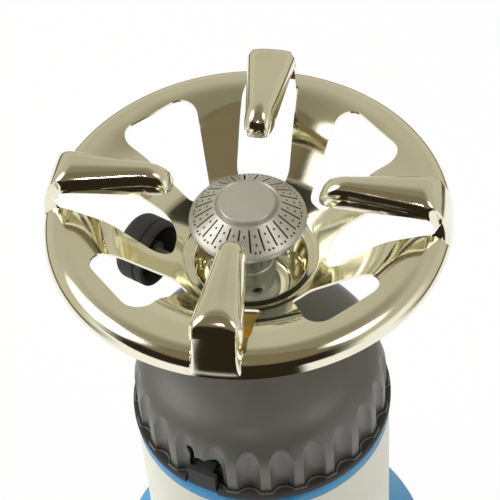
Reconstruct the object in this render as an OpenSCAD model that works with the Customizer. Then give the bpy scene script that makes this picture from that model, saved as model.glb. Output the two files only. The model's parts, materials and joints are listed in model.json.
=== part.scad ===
// Camping gas stove: a burner and pan support twisted on to a gas cartridge that stands in a foot.
// Millimetres, +Z up, origin on the table under the middle of the foot.
// The front of the stove, with the slot that shows the brass valve, faces -Y.

/* [Stand foot] */
// Outside radius of the foot on the table
foot_r = 72; // [68:0.5:78]
// Height of the foot's outer edge
foot_edge_h = 6; // [4:0.5:8]
// Height of the collar round the cartridge
foot_collar_h = 22; // [16:1:28]
// Wall of the moulded foot
foot_wall = 2.6; // [2:0.2:3.2]
// Height of the floor that the cartridge stands on
foot_floor_h = 4; // [3.4:0.2:6]
// Radius of the hole in the foot's floor
foot_hole_r = 26; // [15:1:40]
// Number of ribs under the foot
foot_rib_count = 12; // [6:1:18]
// Thickness of a rib
foot_rib_t = 2; // [1.2:0.2:3]
// Room between the cartridge and the collar
foot_play = 0.4; // [0.3:0.1:0.8]

/* [Cartridge] */
// Outside radius of the cartridge
can_r = 54; // [52:0.5:56]
// Height of the straight wall
can_h = 118.5; // [100:0.5:140]
// Sheet of the can
can_wall = 0.6; // [0.4:0.1:1]
// Rise of the shoulder from the wall to the neck
shoulder_h = 14; // [12:0.5:15]
// Radius of the round edge at the bottom
can_edge_r = 3; // [2:0.5:5]
// Width of the ring that the can stands on
can_ring_w = 4; // [2:0.5:8]
// Rise of the hollow bottom
can_bottom_rise = 9; // [4:0.5:14]
// Outside radius of the neck
neck_r = 15; // [14:0.5:16]
// Height of the neck above the shoulder
neck_h = 8.5; // [8:0.5:12]
// Thickness of the label
label_t = 0.25; // [0.2:0.05:0.4]
// Bare height under the label
label_low = 3; // [1:0.5:12]
// Bare height between the label and the shoulder
label_high = 1; // [0:0.5:8]

/* [Cartridge valve] */
// Radius of the valve cup's rim
cup_r = 17.5; // [16.8:0.1:18]
// Thickness of the cup's plate
cup_t = 1.5; // [1:0.1:2.5]
// Depth of the cup's crimped edge
cup_edge_h = 2; // [1.5:0.1:3]
// Radius of the boss in the middle of the cup
boss_r = 8; // [7:0.5:10]
// Height of the boss above the plate
boss_h = 3.5; // [2:0.5:6]
// Radius of the valve stem
stem_r = 2.5; // [2:0.1:3]
// Height of the stem above the boss, pressed in
stem_proud = 1.5; // [1:0.1:3]
// Radius of the stem's collar
stem_collar_r = 4.6; // [4.2:0.1:5]
// Thickness of the stem's collar
stem_collar_t = 1.5; // [1:0.1:2.5]
// Distance that the stem is pressed below its gasket
stem_press = 1.5; // [1:0.1:2.5]
// Radius of the gas passage in the stem
stem_bore_r = 0.8; // [0.5:0.1:1.2]
// Thickness of the gasket round the stem
gasket_t = 2; // [1.2:0.1:3]
// Outside radius of the valve housing
housing_r = 7; // [6.6:0.1:8]
// Wall of the valve housing
housing_wall = 1.2; // [0.8:0.1:1.4]
// Depth of the valve housing
housing_h = 17; // [16:0.5:20]
// Radius of the housing's gas inlet
housing_inlet_r = 1.2; // [0.8:0.1:2]
// Middle radius of the stem spring
spring_r = 3.6; // [3.4:0.05:3.8]
// Radius of the spring wire
spring_wire_r = 0.4; // [0.3:0.05:0.45]
// Turns of the stem spring
spring_turns = 5; // [3:1:6]

/* [Body] */
// Height of the stove's flange above the straight wall of the can
head_lift = 5.5; // [5:0.5:8]
// Radius of the flange
flange_r = 54.9; // [54:0.1:57]
// Thickness of the flange
flange_h = 3.6; // [3:0.1:5]
// Radius of the fluted skirt
skirt_r = 53; // [52:0.1:54]
// Height of the straight part of the skirt
skirt_h = 9.9; // [8:0.1:14]
// Rise of the dome above the straight part
dome_h = 28.5; // [28.5:0.5:34]
// Roundness of the dome's outline, 2 is an ellipse
dome_power = 2.3; // [2:0.05:3]
// Wall of the skirt at its ridges
skirt_wall = 4.6; // [4.2:0.1:5]
// Wall of the dome
dome_wall = 2.4; // [1.8:0.1:3]
// Number of flutes
flute_count = 24; // [12:1:30]
// Depth of a flute
flute_depth = 2.8; // [1.5:0.1:3]
// Radius of a flute's round hollow
flute_r = 6.1; // [4:0.1:8]
// Turn of the flutes about the stove's axis
flute_turn = 6; // [0:0.5:15]
// Height of the ring that plugs into the skirt
plug_h = 6.4; // [5:0.2:9]
// Wall of the plug ring
plug_wall = 2.2; // [1.6:0.1:2.4]
// Room between the plug ring and the skirt
plug_play = 0.15; // [0.1:0.05:0.3]
// Room between the flange and the can's shoulder
shoulder_play = 0.7; // [0.5:0.1:1]

/* [Lock tab] */
// Direction of the lock tab, seen from above
lock_turn = -121; // [-140:1:-100]
// Width of the tab
lock_w = 12.6; // [9:0.2:14]
// Height of the tab's face
lock_h = 10; // [8:0.2:12]
// Thickness of the tab's face
lock_t = 2.4; // [1.6:0.1:2.6]
// Width of the lug that hooks over the plug ring
lock_lug_w = 8; // [5:0.5:10]
// Thickness of the lug
lock_lug_t = 2; // [1.5:0.1:3]
// Lift of the tab
lock_lift = 8; // [4:0.5:9]
// Room round the tab
lock_play = 1.2; // [0.5:0.1:2]

/* [Bayonet] */
// Radius of the bayonet plate
plate_r = 30; // [28.5:0.5:36]
// Thickness of the bayonet plate
plate_t = 2; // [1.5:0.1:3]
// Number of hooks
hook_count = 3; // [2:1:4]
// Angle that a hook covers
hook_angle = 26; // [16:1:40]
// Thickness of a hook's leg
hook_t = 2; // [1.5:0.1:2.5]
// Thickness of a hook's foot
hook_foot_t = 2.2; // [1.5:0.1:3]
// Room between a hook and the valve cup
hook_play = 0.5; // [0.4:0.05:0.6]
// Distance of the screws from the axis
screw_pcd_r = 24.5; // [24.4:0.1:25.5]
// Radius of a screw's shank
screw_r = 1.5; // [1.2:0.1:1.8]
// Radius of a screw's head
screw_head_r = 2.8; // [2.2:0.1:3]
// Height of a screw's head
screw_head_h = 2; // [1.5:0.1:2.4]
// Length of a screw's shank in its boss
screw_grip = 7; // [5:0.5:9]
// Radius of a screw boss
screw_boss_r = 4; // [3.4:0.1:4.2]

/* [Gas inlet] */
// Radius of the inlet probe
probe_r = 7.6; // [7.4:0.1:8]
// Length of the probe's body
probe_h = 9.5; // [9:0.5:12]
// Radius of the pin that presses the stem
probe_pin_r = 1.8; // [1.4:0.1:2.2]
// Radius of the gas passage in the probe
probe_bore_r = 0.7; // [0.4:0.1:1]
// Depth of thread inside the probe
probe_thread_h = 3.5; // [3:0.1:4]
// Radius of the gas filter
filter_r = 3.9; // [3:0.1:5]
// Thickness of the gas filter
filter_t = 2.6; // [2:0.1:3]
// Outside radius of the inlet seal
seal_r = 6.2; // [5:0.1:7]
// Inside radius of the inlet seal
seal_in_r = 3; // [2.8:0.1:4]
// Thickness of the inlet seal
seal_t = 1.7; // [1.2:0.1:2]

/* [Valve] */
// Height of the brass valve between the dome and the pan support
valve_h = 29; // [28:0.5:34]
// Radius of the valve's upper barrel
valve_r = 10.5; // [9.5:0.1:12]
// Radius of the valve's lower flange
valve_flange_r = 13; // [12:0.1:16]
// Height of the valve's lower flange
valve_flange_h = 12; // [10:0.5:13]
// Height of the groove over the lower flange
valve_groove_h = 2.5; // [1:0.1:3]
// Depth of the groove under the barrel
valve_groove_d = 1.4; // [0.6:0.1:2]
// Radius of the valve's threaded stem in the dome
valve_stem_r = 6.5; // [5.5:0.1:7]
// Thickness of the nut inside the dome
nut_t = 3.8; // [3:0.1:4.4]
// Radius over the corners of that nut
nut_r = 10.5; // [9:0.1:12]
// Radius of the spigot that passes the pan support's hub
spigot_r = 6; // [5:0.1:6.5]
// Height of the spigot above the hub
spigot_h = 2; // [1.5:0.1:3]
// Radius of the gas passage
gas_bore_r = 1.2; // [0.8:0.1:1.4]
// Thickness of the washer under the hub
washer_t = 0.8; // [0.6:0.1:1.2]
// Radius of the jet
jet_r = 3; // [2.4:0.1:3.6]
// Height of the jet
jet_h = 5; // [4:0.2:7]

/* [Tap] */
// Direction of the tap, seen from above
tap_turn = 144; // [135:1:155]
// Height of the tap's axis above the dome
tap_h = 22; // [21:0.5:23]
// Radius of the tap's boss on the valve
tap_boss_r = 6; // [5.6:0.1:6.1]
// Reach of the boss from the stove's axis
tap_boss_reach = 17; // [15:0.5:20]
// Radius of the spindle
spindle_r = 2.5; // [2.2:0.1:3]
// Inner end of the spindle, from the stove's axis
spindle_in = 7; // [6.5:0.5:9]
// Running room round the spindle
spindle_play = 0.06; // [0.03:0.01:0.09]
// Radius of the needle
needle_r = 1.3; // [1:0.1:1.5]
// Length of the needle's point
needle_point = 3; // [2:0.1:3.5]
// Inner end of the needle, from the stove's axis
needle_in = 1.6; // [1.5:0.1:2]
// Length of the needle inside the spindle
needle_grip = 5; // [3:0.5:7]
// Radius over the corners of the gland nut
gland_r = 6.6; // [6:0.1:7]
// Length of the gland nut
gland_len = 6; // [4:0.5:8]
// Thickness of the spindle's packing
packing_t = 2; // [1.5:0.1:3]
// Radius of the spindle's packing
packing_r = 4.8; // [4:0.1:5.2]
// Distance of the knob from the stove's axis
knob_in = 46; // [42:0.5:50]
// Radius of the knob
knob_r = 14.2; // [12:0.1:15]
// Length of the knob
knob_len = 14; // [11:0.5:18]
// Wall of the knob
knob_wall = 1.8; // [1.4:0.1:2.4]
// Radius of the knob's hub
knob_hub_r = 5; // [4.4:0.1:6]
// Distance of the hub's end inside the knob's rim
knob_hub_step = 2; // [1:0.5:4]
// Number of grip grooves round the knob
knob_groove_count = 18; // [10:1:24]
// Radius of a grip groove
knob_groove_r = 0.9; // [0.5:0.1:1.1]
// Radius of the knob's screw head
knob_screw_r = 3.2; // [2.8:0.1:4]
// Thickness of the knob's screw head
knob_screw_t = 1.2; // [0.8:0.1:1.6]

/* [Burner tube] */
// Radius of the tube's foot
tube_foot_r = 11; // [9.8:0.1:13]
// Thickness of the tube's foot
tube_foot_h = 1.6; // [1.2:0.1:1.8]
// Radius of the stretch with the air holes
tube_low_r = 8.4; // [8:0.1:9]
// Height of the bulge's lower edge above the hub
bulge_low = 9; // [8.5:0.1:10]
// Height of the bulge
bulge_h = 8; // [6:0.1:10]
// Radius of the bulge
bulge_r = 9.4; // [9:0.1:10.5]
// Radius of the tube above the bulge
tube_top_r = 7.6; // [7.4:0.1:7.8]
// Inside radius of the tube
tube_in_r = 6.6; // [6.4:0.1:6.8]
// Length of the tube above the bulge
tube_top_h = 11; // [10:0.5:14]
// Radius of an air hole
air_hole_r = 2.2; // [1.5:0.1:2.4]
// Height of the air holes above the hub
air_hole_h = 5.2; // [4.6:0.1:5.8]
// Number of air holes
air_hole_count = 4; // [2:1:4]
// Turn of the first air hole
air_hole_turn = -80; // [-90:1:-70]
// Height of the toothed collar
collar_h = 6; // [4:0.5:7]
// Thickness of the toothed collar
collar_t = 1.2; // [0.8:0.1:1.6]
// Number of teeth
collar_teeth = 16; // [8:1:24]

/* [Burner head] */
// Radius of the burner cap
cap_r = 22.7; // [21:0.1:24]
// Height of the cap's lower edge above the hub
cap_low = 38.5; // [38:0.1:42]
// Height of the cap's rim band
cap_rim_h = 2.4; // [1.8:0.1:4]
// Rise of the cap's cone
cap_rise = 6.6; // [4:0.1:9]
// Radius of the plain disc in the middle
disc_r = 11; // [9:0.1:12]
// Thickness of the disc
disc_t = 1.8; // [1:0.1:3]
// Width of the groove round the disc
disc_groove_w = 1.4; // [0.8:0.1:2]
// Depth of the groove round the disc
disc_groove_d = 0.5; // [0.2:0.1:0.6]
// Sheet of the cap
cap_sheet = 1; // [0.8:0.1:1.4]
// Number of flame slots
slot_count = 24; // [12:1:30]
// Width of a flame slot
slot_w = 0.7; // [0.4:0.1:1]
// Radius at the slot's inner end
slot_in_r = 13.2; // [12.6:0.1:15]
// Radius at the slot's outer end
slot_out_r = 20.4; // [18:0.1:20.8]
// Radius of a flame hole
flame_hole_r = 0.42; // [0.3:0.02:0.6]
// Distance of the inner flame holes from the axis
hole_in_r = 15.4; // [14:0.1:16.5]
// Distance of the middle flame holes from the axis
hole_mid_r = 18.2; // [17:0.1:18.8]
// Distance of the outer flame holes from the axis
hole_out_r = 20.6; // [20:0.1:21]
// Sheet of the burner's lower cup
base_sheet = 1; // [0.8:0.1:1.4]

/* [Pan support] */
// Outside radius of the pan support
rim_r = 78.5; // [76:0.5:84]
// Depth of the bowl from the top of the rim to the hub's floor
bowl_depth = 47.5; // [46:0.5:50]
// Sheet of the pan support
sheet = 1; // [0.8:0.1:1.4]
// Radius of the rim's round outer edge
rim_round = 8.5; // [7.5:0.5:9]
// Height of the straight edge below that round
rim_edge_h = 0.6; // [0.4:0.1:3]
// Radius of the flare from the rim's top into the wall
flare_round = 30; // [27:0.5:33]
// Slope of the bowl's wall
wall_slope = 43.5; // [42:0.5:45]
// Height of the ring round the hub above the hub's floor
hub_ring_h = 17.3; // [16:0.1:18.5]
// Radius of the step where the hub starts
hub_r = 22.6; // [21:0.1:24]
// Radius of the hub's floor
hub_floor_r = 15; // [13.4:0.1:16]
// Turn of the fingers about the axis
spoke_turn = -12; // [-20:1:0]
// Number of fingers
finger_count = 4; // [3:1:4]
// Height of the fingers above the rim
finger_h = 16.5; // [13:0.5:20]
// Radius at a finger's inner tip
finger_tip_r = 28; // [25.5:0.5:32]
// Length of a finger's round nose
finger_nose = 9; // [7:0.5:11]
// Radius where a finger bends down
finger_bend_r = 58.5; // [55:0.5:61]
// Half the width of a finger near its tip
finger_tip_w = 5.4; // [5:0.1:6]
// Half the width of a finger at its bend
finger_bend_w = 7.4; // [6.6:0.1:8]
// Half the width of a finger at the rim
finger_foot_w = 9.6; // [8.8:0.1:10.4]
// Depth of a finger's channel
finger_depth = 8; // [7:0.5:9.5]
// Half the width of the slot under a finger
slot_half_w = 11; // [10.2:0.1:11.6]
// Radius at the inner end of that slot
slot_tip_r = 29.8; // [29:0.1:33]
// Radius at the outer end of that slot
slot_end_r = 74; // [72:0.5:75]
// Half the width of that slot at its outer end
slot_end_w = 7; // [5:0.1:8]
// Radius at the inner end of a window
window_in_r = 32.5; // [30:0.5:36]
// Radius at the straight outer edge of a window
window_out_r = 64; // [60:0.5:66]
// Half the width of a window at its outer corners
window_half_w = 20.2; // [17:0.1:21.5]
// Half the width of a window at its inner end
window_tip_w = 4.4; // [4:0.1:6]
// Radius of a window's outer corners
window_round = 6.5; // [4:0.1:7]

/* [Hidden] */
// Small running and mating clearances
fit = 0.1;
thread_fit = 0.05;
// Gap that keeps two pieces of different bodies apart
seat_gap = 0.3;
// Overlap that joins two shapes of one piece
fuse = 0.4;
// Overshoot of a shape that cuts another
over = 1;
// Steps in a round stretch of an outline
arc_steps = 8;
$fn = 64;

// Head on the can: it sits high enough for the lock and the plug ring to clear the shoulder
lock_proud = 0.4;
lock_in = skirt_r - lock_t + lock_proud;
plug_out = skirt_r - skirt_wall - plug_play;
plug_in = plug_out - plug_wall;
head_seat = max(head_lift, shoulder_rise(lock_in), shoulder_rise(plug_in) + seat_gap - flange_h);

// Heights, from the table up
seat_z = foot_floor_h;
can_top = seat_z + can_h;
neck_z = can_top + shoulder_h;
mouth_z = neck_z + neck_h;
cup_top = mouth_z + cup_t;
boss_top = cup_top + boss_h;
stem_top = boss_top + stem_proud;
flange_z = can_top + head_seat;
skirt_z = flange_z + flange_h;
dome_z = skirt_z + skirt_h;
dome_top = dome_z + dome_h;
dome_in = dome_top - dome_wall;
hub_under = dome_top + valve_h;
hub_z = hub_under + sheet;
rim_z = hub_z + bowl_depth;
finger_top = rim_z + finger_h;

// Gas inlet, which sets the height of the bayonet plate
seal_z = boss_top + seat_gap;
probe_z = seal_z + seal_t;
probe_top = probe_z + probe_h;
plate_step = 1.5;
plate_z = probe_z + plate_step;
plate_top = plate_z + plate_t;
valve_foot_z = probe_top - probe_thread_h;
filter_gap = 0.2;
filter_z = valve_foot_z - filter_t - filter_gap;

// Tap
tap_z = dome_top + tap_h;
gland_in = tap_boss_reach;
packing_in = tap_boss_reach - packing_t;
knob_out = knob_in + knob_len;
knob_face = knob_out - knob_wall;
knob_cover = 1;
spindle_out = knob_face - knob_cover;
knob_screw_grip = 4;

// Burner
bulge_z = hub_z + bulge_low;
tube_shoulder = bulge_z + bulge_h;
tube_top = tube_shoulder + tube_top_h;
collar_z = tube_shoulder + fit;
base_z = collar_z + collar_h + fit;
cap_z = hub_z + cap_low;
cap_cone_z = cap_z + cap_rim_h;
cap_top = cap_cone_z + cap_rise;
cap_flat_r = disc_r + disc_groove_w;

// Pan support
rim_mid_r = rim_r - rim_round;
rim_low = rim_z - rim_round - rim_edge_h;
flare_end = [rim_mid_r - flare_round * sin(wall_slope), rim_z - flare_round * (1 - cos(wall_slope))];
hub_ring_z = hub_z + hub_ring_h;
hub_ring_r = flare_end[0] - (flare_end[1] - hub_ring_z) / tan(wall_slope);
hub_slope = atan2(hub_ring_h, hub_r - hub_floor_r);
finger_set_in = 0.4;
finger_end_r = rim_r - finger_set_in;
finger_lip = finger_top - finger_depth;

// Colours
plate_colour = "Wheat";
zinc_colour = "LightSlateGray";
steel_colour = "DarkGray";
brass_colour = "Goldenrod";
plastic_colour = [0.25, 0.25, 0.24];
black_colour = [0.12, 0.12, 0.12];
blue_colour = [0.2, 0.55, 0.78];
rubber_colour = [0.08, 0.08, 0.08];

// Points of an arc in a flat outline
function arc(middle, r, from, to, steps = arc_steps) =
    [for (i = [0:steps]) let (a = from + (to - from) * i / steps) middle + r * [cos(a), sin(a)]];

// Points on a stretch of an ellipse with two radii
function oval(middle, radii, from, to, steps) =
    [for (i = [0:steps]) let (a = from + (to - from) * i / steps)
        middle + [radii[0] * cos(a), radii[1] * sin(a)]];

// A closed outline with its corners rounded to one radius
function unit(v) = v / norm(v);
function corner(a, b, c, r, steps = 5) =
    let (u = unit(a - b), v = unit(c - b), half = acos(u * v) / 2)
    let (middle = b + unit(u + v) * r / sin(half))
    let (from = b + u * r / tan(half) - middle, to = b + v * r / tan(half) - middle)
    let (start = atan2(from[1], from[0]), turn = (atan2(to[1], to[0]) - start + 540) % 360 - 180)
    arc(middle, r, start, start + turn, steps);
function rounded(points, r) =
    let (count = len(points))
    [for (i = [0:count - 1])
        each corner(points[(i + count - 1) % count], points[i], points[(i + 1) % count], r)];

// Outline of the dome: r over z, from the skirt to the axis
function dome_line(r, h) =
    [for (i = [0:12]) let (a = 90 * i / 12)
        [r * pow(max(cos(a), 0), 2 / dome_power), dome_z + h * pow(sin(a), 2 / dome_power)]];

// Outline of the can's shoulder: an ellipse from the wall to the neck
function shoulder_line(r_in, r_out, rise) =
    [for (i = [0:12]) let (a = 90 * i / 12)
        [r_in + (r_out - r_in) * cos(a), can_top + rise * sin(a)]];

// Height of the can's shoulder over its wall at a radius
function shoulder_rise(r) =
    shoulder_h * sqrt(max(0, 1 - pow((r - neck_r) / (can_r - neck_r), 2)));

// Radius of the can's shoulder at a height
function shoulder_r(z) =
    neck_r + (can_r - neck_r) * sqrt(max(0, 1 - pow((z - can_top) / shoulder_h, 2)));

// Ring of a section swept along the axis
module ring(r_in, r_out, z, h) {
    translate([0, 0, z])
        difference() {
            cylinder(r = r_out, h = h);
            translate([0, 0, -over])
                cylinder(r = r_in, h = h + 2 * over);
        }
}

// Places children along a direction that points out from the axis
module outward(turn, z) {
    translate([0, 0, z])
        rotate([0, 0, turn])
            rotate([0, 90, 0])
                children();
}

// One unbroken wire coil: rings of six points along a helix
coil_sides = 6;
coil_steps = 8;
function coil_points(r, wire, z, rise, turns) =
    [for (i = [0:turns * coil_steps]) let (a = 360 * i / coil_steps, h = z + rise * i / (turns * coil_steps))
        for (j = [0:coil_sides - 1]) let (b = 360 * j / coil_sides)
            [(r + wire * cos(b)) * cos(a), (r + wire * cos(b)) * sin(a), h + wire * sin(b)]];
function loft_faces(rings, sides) = concat(
    [for (i = [0:rings - 2]) for (j = [0:sides - 1])
        each let (k = (j + 1) % sides, low = i * sides, high = low + sides)
            [[low + j, low + k, high + k], [low + j, high + k, high + j]]],
    [[for (j = [sides - 1:-1:0]) j]],
    [[for (j = [0:sides - 1]) (rings - 1) * sides + j]]);

// Stand foot
module foot_shell() {
    collar_in = can_r + label_t + foot_play;
    collar_out = collar_in + foot_wall;
    cone_top = foot_collar_h - foot_wall;
    floor_low = foot_floor_h - foot_wall;
    cone_under = cone_top - 1.5 * foot_wall;
    edge_under = foot_edge_h - foot_wall / 2;
    rib_z = foot_wall / 12;
    rotate_extrude()
        polygon([
            [foot_hole_r, floor_low],
            [collar_out, floor_low],
            [collar_out, cone_under],
            [foot_r - foot_wall, edge_under],
            [foot_r - foot_wall, 0],
            [foot_r, 0],
            [foot_r, foot_edge_h],
            [collar_out, cone_top],
            [collar_out, foot_collar_h],
            [collar_in, foot_collar_h],
            [collar_in, foot_floor_h],
            [foot_hole_r, foot_floor_h]]);
    for (i = [0:foot_rib_count - 1])
        rotate([0, 0, 360 * i / foot_rib_count])
            rotate([90, 0, 0])
                translate([0, 0, -foot_rib_t / 2])
                    linear_extrude(height = foot_rib_t)
                        polygon([
                            [collar_out - fuse, rib_z],
                            [foot_r - foot_wall + fuse, rib_z],
                            [foot_r - foot_wall + fuse, foot_edge_h - fuse],
                            [collar_out - fuse, cone_top - foot_wall]]);
}
module stabiliser_foot() {
    color(blue_colour)
        foot_shell();
}

// Gas cartridge
module cartridge_can() {
    in_r = can_r - can_wall;
    ring_r = can_r - can_edge_r - can_ring_w;
    bottom_line = [for (i = [0:arc_steps]) let (a = 90 * i / arc_steps)
        [ring_r * cos(a), can_bottom_rise * sin(a)]];
    color(blue_colour)
        rotate_extrude()
            polygon(concat(
                [for (i = [arc_steps:-1:0]) [bottom_line[i][0], seat_z + bottom_line[i][1]]],
                arc([can_r - can_edge_r, seat_z + can_edge_r], can_edge_r, -90, 0),
                shoulder_line(neck_r, can_r, shoulder_h),
                [[neck_r, mouth_z], [neck_r - can_wall, mouth_z]],
                [for (i = [12:-1:0]) shoulder_line(neck_r - can_wall, in_r, shoulder_h - can_wall)[i]],
                arc([can_r - can_edge_r, seat_z + can_edge_r], can_edge_r - can_wall, 0, -90),
                [for (p = bottom_line) [p[0], seat_z + can_wall + p[1]]]));
}
module cartridge_label() {
    glue = label_t / 12;
    color("Ivory")
        ring(can_r + glue, can_r + label_t, seat_z + can_edge_r + label_low,
            can_h - can_edge_r - label_low - label_high);
}
module valve_cup() {
    color(steel_colour)
        rotate_extrude()
            polygon([
                [stem_r + thread_fit, mouth_z],
                [neck_r + fit, mouth_z],
                [neck_r + fit, mouth_z - cup_edge_h],
                [cup_r, mouth_z - cup_edge_h],
                [cup_r, cup_top],
                [boss_r, cup_top],
                [boss_r, boss_top],
                [stem_r + thread_fit, boss_top]]);
}
housing_floor = mouth_z - housing_h + housing_wall;
module valve_housing() {
    low = mouth_z - housing_h;
    color("WhiteSmoke")
        difference() {
            translate([0, 0, low])
                cylinder(r = housing_r, h = housing_h);
            translate([0, 0, housing_floor])
                cylinder(r = housing_r - housing_wall, h = housing_h);
            translate([0, 0, low - over])
                cylinder(r = housing_inlet_r, h = housing_wall + 2 * over);
        }
}
module stem_gasket() {
    color(rubber_colour)
        ring(stem_r + thread_fit, housing_r - housing_wall - thread_fit, mouth_z - gasket_t, gasket_t);
}
stem_collar_z = mouth_z - gasket_t - stem_press - stem_collar_t;
module valve_stem() {
    color("WhiteSmoke")
        difference() {
            union() {
                translate([0, 0, stem_collar_z])
                    cylinder(r = stem_r, h = stem_top - stem_collar_z);
                translate([0, 0, stem_collar_z])
                    cylinder(r = stem_collar_r, h = stem_collar_t);
            }
            translate([0, 0, stem_collar_z + stem_collar_t])
                cylinder(r = stem_bore_r, h = stem_top);
        }
}
spring_end_gap = 0.15;
spring_low = housing_floor + spring_wire_r + spring_end_gap;
spring_rise = stem_collar_z - spring_wire_r - spring_end_gap - spring_low;
module stem_spring() {
    points = coil_points(spring_r, spring_wire_r, spring_low, spring_rise, spring_turns);
    color("Silver")
        polyhedron(points, loft_faces(spring_turns * coil_steps + 1, coil_sides));
    gaps = [for (i = [0:coil_sides:len(points) - coil_steps * coil_sides - 1])
        for (j = [0:coil_sides - 1]) for (k = [0:coil_sides - 1])
            norm(points[i + j] - points[i + coil_steps * coil_sides + k])];
    echo(least_spring_gap = min(gaps));
}

// Body
module shroud() {
    in_r = skirt_r - skirt_wall;
    color(plastic_colour)
        difference() {
            union() {
                difference() {
                    rotate_extrude()
                        polygon(concat(
                            [[in_r, skirt_z], [skirt_r, skirt_z]],
                            dome_line(skirt_r, dome_h),
                            [for (i = [12:-1:0]) dome_line(in_r, dome_h - dome_wall)[i]]));
                    for (i = [0:flute_count - 1])
                        rotate([0, 0, flute_turn + 360 * i / flute_count])
                            translate([skirt_r - flute_depth + flute_r, 0, skirt_z - over])
                                cylinder(r = flute_r, h = skirt_h + dome_h);
                }
                screw_places()
                    translate([0, 0, plate_top])
                        cylinder(r = screw_boss_r, h = dome_in - plate_top - over);
            }
            translate([0, 0, dome_z])
                cylinder(r = valve_stem_r + fit, h = dome_h + over);
            translate([0, 0, dome_in - nut_t])
                cylinder(r = nut_r + fit, h = nut_t);
            lock_opening();
            screw_places()
                translate([0, 0, plate_top - over])
                    cylinder(r = screw_r + thread_fit, h = screw_grip + over + seat_gap);
        }
}
plug_top = skirt_z + plug_h;
module base_ring() {
    low_r = shoulder_r(flange_z) + shoulder_play;
    edge = flange_h / 4;
    color(black_colour)
        difference() {
            rotate_extrude()
                polygon(concat(
                    [[low_r, flange_z]],
                    arc([flange_r - edge, flange_z + edge], edge, -90, 0, 4),
                    arc([flange_r - edge, skirt_z - edge], edge, 0, 90, 4),
                    [[plug_out, skirt_z], [plug_out, plug_top], [plug_in, plug_top],
                     [plug_in, skirt_z + shoulder_play]]));
            lock_slot();
        }
}

// Lock tab: lifts in an opening of the skirt, and its lug rests in a step of the plug ring
lock_step = 1.6;
lock_lug_z = plug_top - lock_step;
lock_z = flange_z + seat_gap;
lock_top = lock_z + lock_h;
module lock_slot() {
    rotate([0, 0, lock_turn]) {
        translate([lock_in - lock_play / 2, -lock_w / 2 - lock_play, flange_z - over])
            cube([flange_r, lock_w + 2 * lock_play, flange_h + 2 * over]);
        translate([0, -lock_lug_w / 2 - lock_play, lock_lug_z])
            cube([flange_r, lock_lug_w + 2 * lock_play, plug_h]);
    }
}
module lock_opening() {
    top = max(lock_top, lock_lug_z + lock_lug_t) + lock_lift + lock_play;
    r = lock_w / 2 + lock_play;
    rotate([0, 0, lock_turn]) {
        translate([skirt_r / 2, -r, skirt_z - over])
            cube([skirt_r, 2 * r, top - r / 2 - skirt_z + over]);
        translate([skirt_r / 2, 0, top - r / 2])
            rotate([0, 90, 0])
                intersection() {
                    cylinder(r = r, h = skirt_r);
                    translate([-r / 2, -r, -over])
                        cube([r, 2 * r, skirt_r + 2 * over]);
                }
    }
}
module lock_slide() {
    color(black_colour)
        rotate([0, 0, lock_turn]) {
            translate([lock_in, -lock_w / 2, lock_z])
                cube([lock_t, lock_w, lock_h]);
            translate([plug_in, -lock_lug_w / 2, lock_lug_z])
                cube([lock_in - plug_in + fuse, lock_lug_w, lock_lug_t]);
        }
}

// Bayonet plate and its screws
module screw_places() {
    for (i = [0:hook_count - 1])
        rotate([0, 0, 360 * (i + 0.5) / hook_count])
            translate([screw_pcd_r, 0, 0])
                children();
}
module sector(r_in, r_out, angle, z, h) {
    rotate([0, 0, -angle / 2])
        rotate_extrude(angle = angle)
            translate([r_in, z])
                square([r_out - r_in, h]);
}
module bayonet_plate() {
    leg_in = cup_r + hook_play;
    foot_top = mouth_z - cup_edge_h - hook_play;
    foot_z = foot_top - hook_foot_t;
    color(steel_colour)
        difference() {
            union() {
                ring(probe_r + hook_play, plate_r, plate_z, plate_t);
                for (i = [0:hook_count - 1])
                    rotate([0, 0, 360 * i / hook_count]) {
                        sector(leg_in, leg_in + hook_t, hook_angle, foot_z, plate_z + fuse - foot_z);
                        sector(neck_r + hook_play, leg_in + fuse, hook_angle, foot_z, hook_foot_t);
                    }
            }
            screw_places()
                translate([0, 0, plate_z - over])
                    cylinder(r = screw_r + fit, h = plate_t + 2 * over);
        }
}
module body_screws() {
    color("Silver")
        screw_places() {
            difference() {
                translate([0, 0, plate_z - screw_head_h])
                    cylinder(r = screw_head_r, h = screw_head_h);
                translate([0, 0, plate_z - screw_head_h - over])
                    cylinder(r = screw_r, h = over + screw_head_h / 2, $fn = 6);
            }
            translate([0, 0, plate_z - fuse])
                cylinder(r = screw_r, h = plate_t + screw_grip + fuse);
        }
}

// Gas inlet
module inlet_probe() {
    color(brass_colour)
        difference() {
            union() {
                translate([0, 0, probe_z])
                    cylinder(r = probe_r, h = probe_h);
                translate([0, 0, stem_top + seat_gap])
                    cylinder(r = probe_pin_r, h = probe_z - stem_top);
            }
            translate([0, 0, valve_foot_z - filter_gap])
                cylinder(r = valve_stem_r + thread_fit, h = probe_h);
            translate([0, 0, filter_z])
                cylinder(r = filter_r + thread_fit, h = probe_h);
            translate([0, 0, boss_top])
                cylinder(r = probe_bore_r, h = probe_h);
        }
}
module inlet_seal() {
    color(rubber_colour)
        ring(seal_in_r, seal_r, seal_z, seal_t);
}
module gas_filter() {
    color("Peru")
        translate([0, 0, filter_z])
            cylinder(r = filter_r, h = filter_t);
}

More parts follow.
